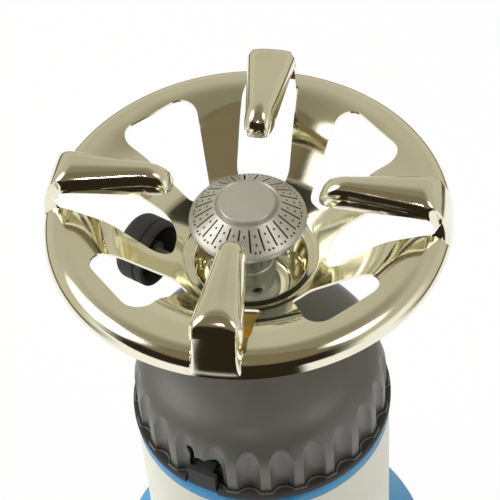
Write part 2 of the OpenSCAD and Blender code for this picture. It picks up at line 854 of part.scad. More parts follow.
// Valve
module valve_body() {
    barrel_z = dome_top + valve_flange_h + valve_groove_h;
    barrel_top = hub_under - washer_t;
    color(brass_colour)
        difference() {
            union() {
                translate([0, 0, valve_foot_z])
                    cylinder(r = valve_stem_r, h = dome_top - valve_foot_z + fuse);
                translate([0, 0, dome_top])
                    cylinder(r = valve_flange_r, h = valve_flange_h);
                translate([0, 0, dome_top + valve_flange_h - fuse])
                    cylinder(r = valve_r - valve_groove_d, h = valve_groove_h + 2 * fuse);
                translate([0, 0, barrel_z])
                    cylinder(r = valve_r, h = barrel_top - barrel_z);
                translate([0, 0, barrel_top - fuse])
                    cylinder(r = spigot_r, h = hub_z + spigot_h - barrel_top + fuse);
                outward(tap_turn, tap_z)
                    cylinder(r = tap_boss_r, h = tap_boss_reach);
            }
            translate([0, 0, valve_foot_z - over])
                cylinder(r = gas_bore_r, h = hub_z + spigot_h - valve_foot_z + 2 * over);
            outward(tap_turn, tap_z) {
                cylinder(r = spindle_r + spindle_play, h = tap_boss_reach + over);
                translate([0, 0, packing_in])
                    cylinder(r = packing_r + thread_fit, h = packing_t + over);
            }
        }
}
module body_nut() {
    color(brass_colour)
        difference() {
            translate([0, 0, dome_in - nut_t])
                cylinder(r = nut_r, h = nut_t, $fn = 6);
            translate([0, 0, dome_in - nut_t - over])
                cylinder(r = valve_stem_r + thread_fit, h = nut_t + 2 * over);
        }
}
module hub_washer() {
    color("Silver")
        ring(spigot_r + fit, valve_r, hub_under - washer_t, washer_t);
}
module injector() {
    jet_z = hub_z + spigot_h;
    jet_neck_r = jet_r * 0.8;
    jet_tip_r = jet_r * 0.5;
    jet_bore_r = gas_bore_r / 3;
    color(brass_colour)
        difference() {
            union() {
                translate([0, 0, jet_z])
                    cylinder(r = jet_r, h = jet_h / 2, $fn = 6);
                translate([0, 0, jet_z + jet_h / 2 - fuse])
                    cylinder(r1 = jet_neck_r, r2 = jet_tip_r, h = jet_h / 2 + fuse);
            }
            translate([0, 0, jet_z - over])
                cylinder(r = jet_bore_r, h = jet_h + 2 * over);
        }
}

// Tap
module gland_nut() {
    color(brass_colour)
        outward(tap_turn, tap_z)
            difference() {
                translate([0, 0, gland_in])
                    cylinder(r = gland_r, h = gland_len, $fn = 6);
                translate([0, 0, gland_in - over])
                    cylinder(r = spindle_r + spindle_play, h = gland_len + 2 * over);
            }
}
module spindle_seal() {
    color(rubber_colour)
        outward(tap_turn, tap_z)
            ring(spindle_r + spindle_play, packing_r, packing_in, packing_t);
}
module spindle() {
    needle_room = 2;
    color("Silver")
        outward(tap_turn, tap_z)
            difference() {
                translate([0, 0, spindle_in])
                    cylinder(r = spindle_r, h = spindle_out - spindle_in);
                translate([0, 0, spindle_in - over])
                    cylinder(r = needle_r + spindle_play, h = needle_grip + needle_room + over);
                translate([0, 0, spindle_out - knob_screw_grip - over])
                    cylinder(r = screw_r + thread_fit, h = knob_screw_grip + 2 * over);
            }
}
module needle() {
    tip_r = needle_r / 4;
    color(steel_colour)
        outward(tap_turn, tap_z) {
            translate([0, 0, needle_in])
                cylinder(r1 = tip_r, r2 = needle_r, h = needle_point);
            translate([0, 0, needle_in + needle_point])
                cylinder(r = needle_r, h = spindle_in + needle_grip - needle_in - needle_point);
        }
}
module knob() {
    groove_mid_r = knob_r + knob_groove_r * 0.4;
    color(black_colour)
        outward(tap_turn, tap_z)
            difference() {
                union() {
                    difference() {
                        translate([0, 0, knob_in])
                            cylinder(r = knob_r, h = knob_len);
                        translate([0, 0, knob_in - over])
                            cylinder(r = knob_r - knob_wall, h = knob_len - knob_wall + over);
                    }
                    translate([0, 0, knob_in + knob_hub_step])
                        cylinder(r = knob_hub_r, h = knob_len - knob_hub_step - fuse);
                }
                translate([0, 0, knob_in])
                    cylinder(r = spindle_r + thread_fit, h = spindle_out + fit - knob_in);
                translate([0, 0, knob_in])
                    cylinder(r = screw_r + fit, h = knob_len + over);
                translate([0, 0, knob_out - knob_screw_t])
                    cylinder(r = knob_screw_r + fit, h = knob_screw_t + over);
                for (i = [0:knob_groove_count - 1])
                    rotate([0, 0, 360 * i / knob_groove_count])
                        translate([groove_mid_r, 0, knob_in - over])
                            cylinder(r = knob_groove_r, h = knob_len - 2 * over, $fn = 16);
            }
}
module knob_screw() {
    color("Silver")
        outward(tap_turn, tap_z) {
            translate([0, 0, knob_out - knob_screw_t])
                cylinder(r = knob_screw_r, h = knob_screw_t);
            translate([0, 0, spindle_out - knob_screw_grip])
                cylinder(r = screw_r, h = knob_out - spindle_out + knob_screw_grip - knob_screw_t + fuse);
        }
}

// Burner tube
module mixing_tube() {
    edge = 1;
    color(zinc_colour)
        difference() {
            rotate_extrude()
                polygon(concat(
                    [[spigot_r + thread_fit, hub_z],
                     [tube_foot_r, hub_z],
                     [tube_foot_r, hub_z + tube_foot_h],
                     [tube_low_r, hub_z + tube_foot_h + edge],
                     [tube_low_r, bulge_z]],
                    arc([bulge_r - edge, bulge_z + edge], edge, -90, 0, 4),
                    arc([bulge_r - edge, tube_shoulder - edge], edge, 0, 90, 4),
                    [[tube_top_r, tube_shoulder],
                     [tube_top_r, tube_top],
                     [tube_in_r, tube_top],
                     [tube_in_r, hub_z + spigot_h + fit],
                     [spigot_r + thread_fit, hub_z + spigot_h + fit]]));
            for (i = [0:air_hole_count - 1])
                outward(air_hole_turn + 360 * i / air_hole_count, hub_z + air_hole_h)
                    cylinder(r = air_hole_r, h = tube_foot_r + over);
        }
}
module tube_collar() {
    tooth_gap = 1.1;
    tooth_root = collar_z + collar_h / 3;
    color(zinc_colour)
        difference() {
            ring(tube_top_r + thread_fit, tube_top_r + collar_t, collar_z, collar_h);
            for (i = [0:collar_teeth - 1])
                rotate([0, 0, 360 * i / collar_teeth])
                    translate([tube_top_r + collar_t / 2, -tooth_gap / 2, tooth_root])
                        cube([collar_t, tooth_gap, collar_h]);
        }
}

// Burner head
module burner_base() {
    rim = cap_r - cap_sheet - fit;
    neck_in = tube_top_r + thread_fit;
    neck_out = neck_in + base_sheet;
    neck_z = base_z + base_sheet;
    rim_low = cap_z + seat_gap;
    inner_mitre = base_sheet * 0.4;
    color(steel_colour)
        rotate_extrude()
            polygon([
                [neck_in, base_z],
                [neck_out, base_z],
                [neck_out, neck_z],
                [rim, rim_low],
                [rim, cap_cone_z - fit],
                [rim - base_sheet, cap_cone_z - fit],
                [rim - base_sheet, rim_low + base_sheet],
                [neck_out - inner_mitre, neck_z + base_sheet],
                [neck_in, neck_z + base_sheet]]);
}
module burner_cap() {
    rolled = 0.6;
    pair_share = 0.16;
    color(steel_colour)
        difference() {
            rotate_extrude()
                polygon(concat(
                    [[cap_r - cap_sheet, cap_z]],
                    arc([cap_r - rolled, cap_z + rolled], rolled, -90, 0, 4),
                    [[cap_r, cap_cone_z - rolled], [cap_r - rolled, cap_cone_z],
                     [cap_flat_r, cap_top],
                     [cap_flat_r - disc_groove_w / 2, cap_top - disc_groove_d],
                     [0, cap_top - disc_groove_d],
                     [0, cap_top - disc_groove_d - cap_sheet],
                     [cap_flat_r - disc_groove_w, cap_top - disc_groove_d - cap_sheet],
                     [cap_r - cap_sheet, cap_cone_z]]));
            for (i = [0:slot_count - 1])
                rotate([0, 0, 360 * i / slot_count]) {
                    translate([slot_in_r, -slot_w / 2, cap_z])
                        cube([slot_out_r - slot_in_r, slot_w, cap_top]);
                    flame_hole(hole_in_r, 0.5);
                    flame_hole(hole_mid_r, 0.5);
                    flame_hole(hole_out_r, 0.5 - pair_share);
                    flame_hole(hole_out_r, 0.5 + pair_share);
                }
        }
}
module flame_hole(r, share) {
    rotate([0, 0, share * 360 / slot_count])
        translate([r, 0, cap_z])
            cylinder(r = flame_hole_r, h = cap_top, $fn = 16);
}
module cap_disc() {
    edge = disc_t * 0.45;
    seat = cap_top - disc_groove_d;
    color(steel_colour)
        rotate_extrude()
            polygon(concat(
                [[0, seat], [disc_r, seat]],
                arc([disc_r - edge, seat + disc_t - edge], edge, 0, 90, 4),
                [[0, seat + disc_t]]));
}

// Pan support: a pressed bowl whose fingers are the raised sheet of the slots under them
module bowl_shell() {
    rim_mid = [rim_mid_r, rim_z - rim_round];
    flare_mid = [rim_mid_r, rim_z - flare_round];
    steep = 90 + wall_slope;
    flare_step = wall_slope / arc_steps;
    wall_mitre = sheet * tan(wall_slope / 2);
    hub_mitre = sheet * tan(hub_slope / 2);
    rotate_extrude()
        polygon(concat(
            [[rim_r - sheet, rim_low], [rim_r, rim_low]],
            arc(rim_mid, rim_round, 0, 90),
            arc(flare_mid, flare_round, 90 + flare_step, steep, arc_steps - 1),
            [[hub_ring_r, hub_ring_z], [hub_r, hub_ring_z], [hub_floor_r, hub_z],
             [spigot_r + fit, hub_z], [spigot_r + fit, hub_under],
             [hub_floor_r + hub_mitre, hub_under],
             [hub_r + hub_mitre, hub_ring_z - sheet],
             [hub_ring_r + wall_mitre, hub_ring_z - sheet]],
            arc(flare_mid, flare_round - sheet, steep, 90 + flare_step, arc_steps - 1),
            arc(rim_mid, rim_round - sheet, 90, 0)));
}
// A finger is the part shared by its side view, its plan and its cross section
module finger_side(inset, low) {
    nose = [finger_nose - inset, finger_depth - sheet - inset];
    bend = [finger_end_r - finger_bend_r - inset, finger_top - rim_low - sheet - inset];
    web_r = slot_end_r - finger_depth;
    rotate([90, 0, 0])
        translate([0, 0, -finger_foot_w])
            linear_extrude(height = 2 * finger_foot_w)
                polygon(concat(
                    [[finger_tip_r + inset, finger_lip - low]],
                    oval([finger_tip_r + finger_nose, finger_lip + sheet], nose, 180, 90, 6),
                    oval([finger_bend_r, rim_low + sheet], bend, 90, 0, 8),
                    [[finger_end_r - inset, rim_low - low],
                     [slot_end_r, rim_low - low],
                     [slot_end_r, rim_z - low],
                     [web_r, finger_lip - low]]));
}
module finger_plan(inset) {
    tip_w = finger_tip_w - inset;
    tip = finger_tip_r + inset;
    translate([0, 0, hub_z])
        linear_extrude(height = finger_top + over - hub_z)
            polygon(concat(
                arc([tip + tip_w, 0], tip_w, 270, 90, 10),
                [[finger_bend_r, finger_bend_w - inset],
                 [rim_r, finger_foot_w - inset],
                 [rim_r, inset - finger_foot_w],
                 [finger_bend_r, inset - finger_bend_w]]));
}
// The cross section is a box with round shoulders and a level top
module finger_crown_form(inset) {
    crown = finger_depth - inset;
    half = finger_foot_w - inset;
    level = 65;
    fullness = 2 / 3;
    rotate([90, 0, 90])
        linear_extrude(height = rim_r)
            polygon(concat(
                [[half, hub_z]],
                [for (a = [0, 12, 25, 45, level])
                    [half * pow(cos(a), fullness),
                     finger_lip + crown * pow(sin(a) / sin(level), fullness)]],
                [for (a = [level, 45, 25, 12, 0])
                    [-half * pow(cos(a), fullness),
                     finger_lip + crown * pow(sin(a) / sin(level), fullness)]],
                [[-half, hub_z]]));
}
module finger(inset, low) {
    intersection() {
        finger_side(inset, low);
        finger_plan(inset);
        finger_crown_form(inset);
    }
}
module finger_slot() {
    tip_w = slot_half_w * 0.95;
    corner_r = slot_half_w * 0.75;
    wide_r = slot_end_r * 0.84;
    tip = [for (side = [-1, 1]) [slot_tip_r, side * tip_w]];
    end = [for (side = [-1, 1]) [slot_end_r, side * slot_end_w]];
    wide = [for (side = [-1, 1]) [wide_r, side * slot_half_w]];
    translate([0, 0, hub_z])
        linear_extrude(height = bowl_depth + over)
            polygon(concat(
                corner(tip[1], tip[0], wide[0], corner_r),
                corner(tip[0], wide[0], end[0], corner_r),
                end,
                corner(end[1], wide[1], tip[1], corner_r),
                corner(wide[1], tip[1], tip[0], corner_r)));
}
module window() {
    tip_round = window_tip_w * 0.85;
    tip = [for (side = [-1, 1]) [window_in_r, side * window_tip_w]];
    out = [for (side = [-1, 1]) [window_out_r, side * window_half_w]];
    translate([0, 0, hub_z])
        linear_extrude(height = bowl_depth + over)
            polygon(concat(
                corner(tip[1], tip[0], out[0], tip_round),
                corner(tip[0], out[0], out[1], window_round),
                corner(out[0], out[1], tip[1], window_round),
                corner(out[1], tip[1], tip[0], tip_round)));
}
module pan_support() {
    open_below = bowl_depth / 5;
    color(plate_colour)
        difference() {
            union() {
                bowl_shell();
                finger_places()
                    finger(0, 0);
            }
            finger_places() {
                finger(sheet, open_below);
                finger_slot();
                rotate([0, 0, 180 / finger_count])
                    window();
            }
        }
}
module finger_places() {
    for (i = [0:finger_count - 1])
        rotate([0, 0, spoke_turn + 360 * i / finger_count])
            children();
}

stabiliser_foot();
cartridge_can();
cartridge_label();
valve_cup();
valve_housing();
stem_gasket();
valve_stem();
stem_spring();
shroud();
base_ring();
lock_slide();
bayonet_plate();
body_screws();
inlet_probe();
inlet_seal();
gas_filter();
valve_body();
body_nut();
hub_washer();
injector();
gland_nut();
spindle_seal();
spindle();
needle();
knob();
knob_screw();
mixing_tube();
tube_collar();
burner_base();
burner_cap();
cap_disc();
pan_support();
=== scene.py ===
"""Dresses a camping gas stove: plated pan support, slotted burner, tap, fluted body, cartridge and foot."""

import json
import math

import bmesh
import bpy
from mathutils import Matrix, Vector


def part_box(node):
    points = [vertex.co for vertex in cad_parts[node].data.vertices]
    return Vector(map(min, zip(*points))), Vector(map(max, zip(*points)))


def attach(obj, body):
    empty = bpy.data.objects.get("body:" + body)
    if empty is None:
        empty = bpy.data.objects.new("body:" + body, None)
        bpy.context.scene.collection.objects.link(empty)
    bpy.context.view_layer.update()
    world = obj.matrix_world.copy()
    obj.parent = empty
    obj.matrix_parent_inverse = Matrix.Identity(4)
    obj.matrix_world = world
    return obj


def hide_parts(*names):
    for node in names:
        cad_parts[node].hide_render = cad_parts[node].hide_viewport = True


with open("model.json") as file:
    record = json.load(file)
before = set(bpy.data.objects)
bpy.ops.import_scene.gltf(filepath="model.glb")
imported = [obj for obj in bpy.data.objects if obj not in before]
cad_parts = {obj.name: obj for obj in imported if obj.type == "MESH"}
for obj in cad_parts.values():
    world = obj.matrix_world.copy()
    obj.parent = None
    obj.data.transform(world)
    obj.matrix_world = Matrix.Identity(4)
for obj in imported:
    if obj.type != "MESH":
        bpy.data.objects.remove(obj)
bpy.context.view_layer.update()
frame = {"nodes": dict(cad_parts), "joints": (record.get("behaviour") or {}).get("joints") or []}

bl_info = {
    "name": "Camping gas stove",
    "version": (1, 0, 0),
    "blender": (4, 5, 0),
    "location": "View3D > Sidebar > Stove",
    "description": "Builds the looks of a camping gas stove round its solid parts",
    "category": "Object",
}

NODES = frame["nodes"]
PAN_LOW, PAN_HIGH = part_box("pan_support")
SHROUD_LOW, SHROUD_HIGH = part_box("shroud")
TAP = next(j for j in frame["joints"] if j["name"] == "tap_turn")
PHOTO_PIXELS = 500
SENSOR_WIDTH = 36
MERGE_DISTANCE = 1e-6
WHITE = (1, 1, 1, 1)


# Property helpers
def length(name, default, about):
    return bpy.props.FloatProperty(name=name, description=about, default=default, unit="LENGTH", precision=5)


def angle(name, degrees, about):
    return bpy.props.FloatProperty(
        name=name, description=about, default=math.radians(degrees), subtype="ANGLE")


def amount(name, default, about):
    return bpy.props.FloatProperty(name=name, description=about, default=default)


def count(name, default, about):
    return bpy.props.IntProperty(name=name, description=about, default=default, min=1)


def colour(name, default, about):
    return bpy.props.FloatVectorProperty(
        name=name, description=about, default=default, size=3, subtype="COLOR", min=0, max=1)


class StovePanSizes(bpy.types.PropertyGroup):
    """Sizes of the pressed pan support"""
    finger_top: length("Finger top", PAN_HIGH.z, "Height of the fingers' tops above the table")
    finger_rise: length("Finger rise", 0.0165, "Height of the fingers above the rim")
    rim_r: length("Rim radius", 0.0785, "Outside radius of the rim")
    rim_round: length("Rim round", 0.0085, "Radius of the rim's round outer edge")
    rim_end: angle("Rim end", 9, "Slope at which that round ends, off the upright")
    flare_round: length("Flare", 0.030, "Radius of the flare from the rim's top into the wall")
    wall_slope: angle("Wall slope", 43.5, "Slope of the bowl's wall")
    sheet: length("Sheet", 0.001, "Thickness of the sheet")
    ring_h: length("Ring height", 0.0173, "Height of the ring round the hub above the hub's floor")
    ring_round: length("Ring round", 0.003, "Radius between the wall and that ring")
    hub_r: length("Hub radius", 0.0226, "Radius of the step round the hub")
    hub_round: length("Hub round", 0.0018, "Radius of that step's edge")
    floor_r: length("Floor radius", 0.015, "Radius of the hub's floor")
    floor_round: length("Floor round", 0.003, "Radius of the floor's edge")
    bowl_depth: length("Bowl depth", 0.0475, "Depth from the rim to the hub's floor")
    bore_r: length("Bore", 0.0061, "Radius of the hole in the floor")
    finger_turn: angle("Finger turn", -12, "Turn of the fingers about the axis")
    finger_count: count("Fingers", 4, "Number of fingers")
    bend_r: length("Bend start", 0.066, "Radius at which a finger starts to bend down")
    bend_full: amount("Bend fullness", 1.95, "How full that bend is, 2 is an ellipse")
    bend_end: angle("Bend end", 13, "Slope of the rim's round where a finger's face meets it")
    root_r: length("Root", 0.0744, "Radius at which a finger leaves the sheet")
    root_half_w: length("Root half width", 0.0083, "Half the width of a finger where it leaves the sheet")
    blend: length("Root blend", 0.005, "Length over which a finger takes its own section")
    shoulder_in: length("Shoulder inside", 0.0077, "Half the width of a root's level face")
    shoulder_out: length("Shoulder outside", 0.0093, "Half the width of a root at the rim")
    nose_r: length("Nose start", 0.0387, "Radius at which a finger's nose starts")
    nose_len: length("Nose length", 0.0107, "Length of a finger's round nose")
    nose_drop: length("Nose drop", 0.0015, "How far the nose's edge hangs below the finger's edge")
    nose_blunt: amount("Nose bluntness", 0.45, "Power of the nose in plan, 1 is an ellipse")
    nose_half_w: length("Nose half width", 0.0060, "Half the width of a finger at its nose")
    taper: amount("Taper", 0.125, "Growth of a finger's half width along its length")
    finger_depth: length("Finger depth", 0.0078, "Depth of a finger's channel")
    fullness: amount("Fullness", 2.3, "How full a finger's section is, 2 is an ellipse")
    root_fullness: amount("Root fullness", 3.0, "The same at a finger's root")
    slot_tip_r: length("Slot tip", 0.0298, "Radius at the inner end of the slot under a finger")
    slot_half_w: length("Slot half width", 0.011, "Half the width of that slot")
    slot_wide_r: length("Slot waist", 0.061, "Radius from which that slot narrows outwards")
    window_in_r: length("Window inside", 0.0325, "Radius at the inner end of a window")
    window_out_r: length("Window outside", 0.064, "Radius at the straight outer edge of a window")
    window_half_w: length("Window half width", 0.0202, "Half the width of a window at its outer corners")
    window_tip_w: length("Window tip", 0.0044, "Half the width of a window at its inner end")
    window_round: length("Window round", 0.0065, "Radius of a window's outer corners")
    fine_turn: angle("Fine turn", 16, "Angle about a finger that is meshed finely")
    fine_steps: count("Fine steps", 60, "Faces in that angle")
    plain_steps: count("Plain steps", 34, "Faces in the angle between two fingers")


class StoveTrimSizes(bpy.types.PropertyGroup):
    """Sizes of the knob, of the body and of the line round its foot"""
    knob_in: length("Knob inside", 0.046, "Distance of the knob's open end from the stove's axis")
    knob_len: length("Knob length", 0.014, "Length of the knob")
    knob_r: length("Knob radius", 0.0142, "Outside radius of the knob")
    knob_wall: length("Knob wall", 0.0018, "Thickness of the knob's wall")
    knob_round: length("Knob round", 0.0042, "Radius of the edge of the knob's closed end")
    knob_hub_r: length("Knob hub", 0.005, "Radius of the hub inside the knob")
    knob_bore_r: length("Knob bore", 0.0025, "Radius of the hole for the spindle")
    knob_screw_r: length("Knob screw", 0.0033, "Radius of the sink for the screw's head")
    knob_screw_t: length("Screw sink", 0.0012, "Depth of that sink")
    lip_groove: length("Lip groove", 0.0005, "Depth of the groove that sets off the knob's lip")
    skirt_r: length("Skirt radius", SHROUD_HIGH.x, "Outside radius of the body's skirt")
    skirt_h: length("Skirt height", 0.0099, "Height of the skirt's straight part")
    dome_full: amount("Dome fullness", 2.85, "How full the dome's outline is, 2 is an ellipse")
    dome_in_r: length("Dome inside", 0.012, "Radius of the hole in the dome's top")
    body_wall: length("Body wall", 0.0046, "Thickness of the skirt's wall at its ridges")
    dome_wall: length("Dome wall", 0.0024, "Thickness of the dome's wall")
    flute_count: count("Flutes", 24, "Number of flutes round the skirt")
    flute_turn: angle("Flute turn", 6, "Turn of the first flute about the axis")
    flute_depth: length("Flute depth", 0.0028, "Depth of a flute")
    flute_r: length("Flute radius", 0.0061, "Radius of a flute")
    bead_z: length("Bead height", SHROUD_LOW.z, "Height of the flange's top under the line")
    bead_out: length("Bead offset", 0.0009, "Distance of the line from the skirt")
    bead_r: length("Bead radius", 0.0005, "Radius of the line's round")
    lock_turn: angle("Lock turn", -121, "Direction of the lock tab")
    lock_half: angle("Lock half", 8.4, "Half the angle that the lock's opening takes up")


class StoveFinishes(bpy.types.PropertyGroup):
    """Colours of the finishes"""
    nickel: colour("Nickel", (0.89, 0.86, 0.69), "Warm bright plating of the pan support")
    burner: colour("Burner steel", (0.61, 0.60, 0.54), "Satin steel of the burner")
    # Painted shade: the inside of the burner is dark so that its slots look black
    burner_inside_shade: colour("Burner inside shade", (0.06, 0.058, 0.05), "Inside of the burner")
    zinc: colour("Zinc", (0.66, 0.71, 0.62), "Greenish zinc of the tube")
    brass: colour("Brass", (0.92, 0.62, 0.15), "Turned brass of the valve")
    body: colour("Body", (0.098, 0.098, 0.088), "Dark grey moulded body")
    black: colour("Black", (0.026, 0.026, 0.024), "Black moulded pieces")
    blue: colour("Blue", (0.048, 0.30, 0.60), "Blue of the can and the foot")
    label: colour("Label", (0.76, 0.77, 0.69), "Pale film round the can")
    pale: colour("Pale plastic", (0.75, 0.75, 0.72), "Plastic of the cartridge's valve")
    rubber: colour("Rubber", (0.02, 0.02, 0.02), "Seals")


class StoveStage(bpy.types.PropertyGroup):
    """Camera and light"""
    aim_z: length("Aim", 0.245, "Height of the point that the camera and the lamps look at")
    distance: length("Camera distance", 0.70489, "Distance of the camera from that point")
    elevation: angle("Camera elevation", 47.207, "Height angle of the camera")
    pan: angle("Camera pan", 0.016, "Turn of the camera to the side")
    tilt: angle("Camera tilt", -1.301, "Turn of the camera upwards")
    roll: angle("Camera roll", 4.634, "Roll of the camera")
    focal_pixels: amount("Focal length", 1852.8, "Focal length in pixels of the square picture")
    lamp_distance: length("Lamp distance", 1.2, "Distance of the lamps from the point looked at")
    floor_half: length("Floor", 4.0, "Half the width of the floor")
    floor: colour("Floor", (0.86, 0.86, 0.84), "Colour of the floor")
    horizon: colour("Horizon", (1.0, 1.0, 0.98), "Light from the sides")
    wall: colour("Wall", (0.58, 0.55, 0.44), "Light from the wall behind the stove")
    dusk: colour("Dusk", (0.11, 0.10, 0.08), "Dark line where the white floor ends behind the stove")
    window: colour("Window", (1.0, 1.0, 0.98), "Bright windows that the metal mirrors")
    window_power: amount("Window power", 2.2, "How bright those windows are, 1 is white")
    ceiling: colour("Ceiling", (0.52, 0.49, 0.40), "Light from above the sides")
    zenith: colour("Zenith", (0.26, 0.24, 0.17), "Light from straight above")
    room: colour("Room", (0.20, 0.165, 0.105), "Dim room above the camera, which the metal mirrors")
    gloom: colour("Gloom", (0.024, 0.018, 0.010), "Dark room behind the camera, which the metal mirrors")
    room_turn: angle("Room direction", -106, "Direction of that room about the stove's axis")
    room_half: angle("Room half", 60, "Half the angle that the room takes up")
    patch_turn: angle("Patch direction", -95, "Direction of the darkest patch behind the camera")
    patch_half: angle("Patch half", 25, "Half the angle that the patch takes up")


def pan_sizes():
    return bpy.context.scene.stove_pan


def trim_sizes():
    return bpy.context.scene.stove_trim


def finishes():
    return bpy.context.scene.stove_finishes


# Outlines
def arc(middle, radius, start, end, steps):
    """Points of an arc in a flat outline."""
    turns = [start + (end - start) * i / steps for i in range(steps + 1)]
    return [Vector((middle[0] + radius * math.cos(a), middle[1] + radius * math.sin(a))) for a in turns]


def fillet(before, corner, after, radius, steps):
    """Points of the round that replaces a corner of an outline."""
    u = (Vector(before) - Vector(corner)).normalized()
    v = (Vector(after) - Vector(corner)).normalized()
    half = u.angle(v) / 2
    middle = Vector(corner) + (u + v).normalized() * radius / math.sin(half)
    start = Vector(corner) + u * radius / math.tan(half) - middle
    end = Vector(corner) + v * radius / math.tan(half) - middle
    first = math.atan2(start.y, start.x)
    turn = (math.atan2(end.y, end.x) - first + math.pi) % math.tau - math.pi
    return arc(middle, radius, first, first + turn, steps)


def spaced(path, step):
    """The same path with its long stretches cut into even steps."""
    points = [path[0]]
    for start, end in zip(path, path[1:]):
        parts = max(1, math.ceil((end - start).length / step))
        points += [start.lerp(end, i / parts) for i in range(1, parts + 1)]
    return points


def smooth_share(value, low, high):
    """Goes smoothly from 0 at low to 1 at high."""
    share = min(1.0, max(0.0, (value - low) / (high - low)))
    return share * share * (3 - 2 * share)


# Meshes
def weld(form):
    """Merges doubled vertices and turns the faces outwards."""
    bmesh.ops.remove_doubles(form, verts=form.verts, dist=MERGE_DISTANCE)
    bmesh.ops.recalc_face_normals(form, faces=form.faces)


def spun(path, pitches, start=0.0):
    """A surface turned about the stove's axis from a path of radius and height.
    pitches lists pairs of an angle and the number of faces in it."""
    form = bmesh.new()
    verts = [form.verts.new((p.x * math.cos(start), p.x * math.sin(start), p.y)) for p in path]
    last = verts + [form.edges.new(pair) for pair in zip(verts, verts[1:])]
    for swing, steps in pitches:
        last = bmesh.ops.spin(form, geom=last, cent=(0, 0, 0), axis=(0, 0, 1), dvec=(0, 0, 0),
                              angle=swing, steps=steps)["geom_last"]
    weld(form)
    return form


def turned(path, middle, axis, steps):
    """A ring turned about any axis from a closed path of radius and distance along the axis."""
    form = bmesh.new()
    side = axis.orthogonal().normalized()
    verts = [form.verts.new(middle + side * p[0] + axis * p[1]) for p in path]
    edges = [form.edges.new((verts[i - 1], vert)) for i, vert in enumerate(verts)]
    bmesh.ops.spin(form, geom=verts + edges, cent=middle, axis=axis, dvec=(0, 0, 0),
                   angle=math.tau, steps=steps, use_merge=True)
    weld(form)
    return form


def face_up(form):
    """Turns an open sheet so that its top faces up."""
    if sum(f.normal.z * f.calc_area() for f in form.faces) < 0:
        bmesh.ops.reverse_faces(form, faces=form.faces)


def points_of(geometry):
    """The vertices among mixed geometry."""
    return [item for item in geometry if isinstance(item, bmesh.types.BMVert)]


def prism(corners, along):
    """A prism grown from a flat outline along a vector."""
    form = bmesh.new()
    face = form.faces.new([form.verts.new(c) for c in corners])
    grown = bmesh.ops.extrude_face_region(form, geom=[face])["geom"]
    bmesh.ops.translate(form, verts=points_of(grown), vec=along)
    bmesh.ops.recalc_face_normals(form, faces=form.faces)
    return form


def upright(outline, low, high):
    """An upright prism on a plan."""
    return prism([(p.x, p.y, low) for p in outline], (0, 0, high - low))


def copies_round(form, number, turn):
    """Turns a form about the axis and repeats it evenly."""
    bmesh.ops.rotate(form, verts=form.verts, cent=(0, 0, 0), matrix=Matrix.Rotation(turn, 3, "Z"))
    first = list(form.verts) + list(form.edges) + list(form.faces)
    for i in range(1, number):
        again = bmesh.ops.duplicate(form, geom=first)["geom"]
        step = Matrix.Rotation(math.tau * i / number, 3, "Z")
        bmesh.ops.rotate(form, verts=points_of(again), cent=(0, 0, 0), matrix=step)
    return form


def loose_object(name, form):
    """An object made from a bmesh, which is freed."""
    mesh = bpy.data.meshes.new(name)
    form.to_mesh(mesh)
    form.free()
    made = bpy.data.objects.new(name, mesh)
    bpy.context.scene.collection.objects.link(made)
    return made


def settle(made):
    """Applies an object's modifiers to its mesh."""
    graph = bpy.context.evaluated_depsgraph_get()
    mesh = bpy.data.meshes.new_from_object(made.evaluated_get(graph))
    made.modifiers.clear()
    made.data = mesh


def thickened(name, form, thickness):
    """A sheet given its thickness on the side away from its normals."""
    made = loose_object(name, form)
    solid = made.modifiers.new("Sheet", "SOLIDIFY")
    solid.thickness = thickness
    solid.offset = -1
    solid.use_even_offset = True
    settle(made)
    return made


def cut(made, form):
    """Cuts a form out of an object."""
    tool = loose_object("cutter", form)
    step = made.modifiers.new("Cut", "BOOLEAN")
    step.object = tool
    step.solver = "EXACT"
    settle(made)
    bpy.data.objects.remove(tool)


def absorb(made, other):
    """Joins another object's mesh to an object."""
    form = bmesh.new()
    form.from_mesh(made.data)
    form.from_mesh(other.data)
    form.to_mesh(made.data)
    form.free()
    bpy.data.objects.remove(other)


def smooth(made, degrees):
    """Smooth shading with sharp edges above an angle."""
    made.data.polygons.foreach_set("use_smooth", [True] * len(made.data.polygons))
    made.data.set_sharp_from_angle(angle=math.radians(degrees))


def place(made, material, slot, body, *replaced):
    """Gives a finished piece its material and its body. The slot argument is not used."""
    made.data.materials.clear()
    made.data.materials.append(material)
    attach(made, body)
    if replaced:
        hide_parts(*replaced)


def dress(material, *names):
    """Gives CAD nodes a material."""
    for name in names:
        for held in NODES[name].material_slots:
            held.material = material


# Material helpers
NOISE_LOW, NOISE_HIGH = 0.3, 0.7
SMUDGE_SCALE = 45.0


def wire(tree, source, target):
    tree.links.new(source, target)


def fill(tree, socket, value):
    """Links a socket to a source or sets it to a value."""
    if isinstance(value, bpy.types.NodeSocket):
        wire(tree, value, socket)
    else:
        socket.default_value = value


def add(tree, kind, **inputs):
    """A node with its inputs set or linked by name."""
    made = tree.nodes.new(kind)
    for key, value in inputs.items():
        fill(tree, made.inputs[key.replace("_", " ")], value)
    return made


def maths(tree, kind, operation, *values):
    """Outputs of a Math or Vector Math node with its inputs set or linked in order."""
    made = tree.nodes.new(kind)
    made.operation = operation
    for socket, value in zip(made.inputs, values):
        fill(tree, socket, value)
    return made.outputs


def times(tree, first, second):
    return maths(tree, "ShaderNodeMath", "MULTIPLY", first, second)["Value"]


def mixed(tree, share, first, second):
    """A mix of two colours."""
    made = tree.nodes.new("ShaderNodeMix")
    made.data_type = "RGBA"
    fill(tree, made.inputs[0], share)
    fill(tree, made.inputs[6], first)
    fill(tree, made.inputs[7], second)
    return made.outputs[2]


def opaque(rgb):
    """A colour with its alpha."""
    return tuple(rgb) + (1.0,)


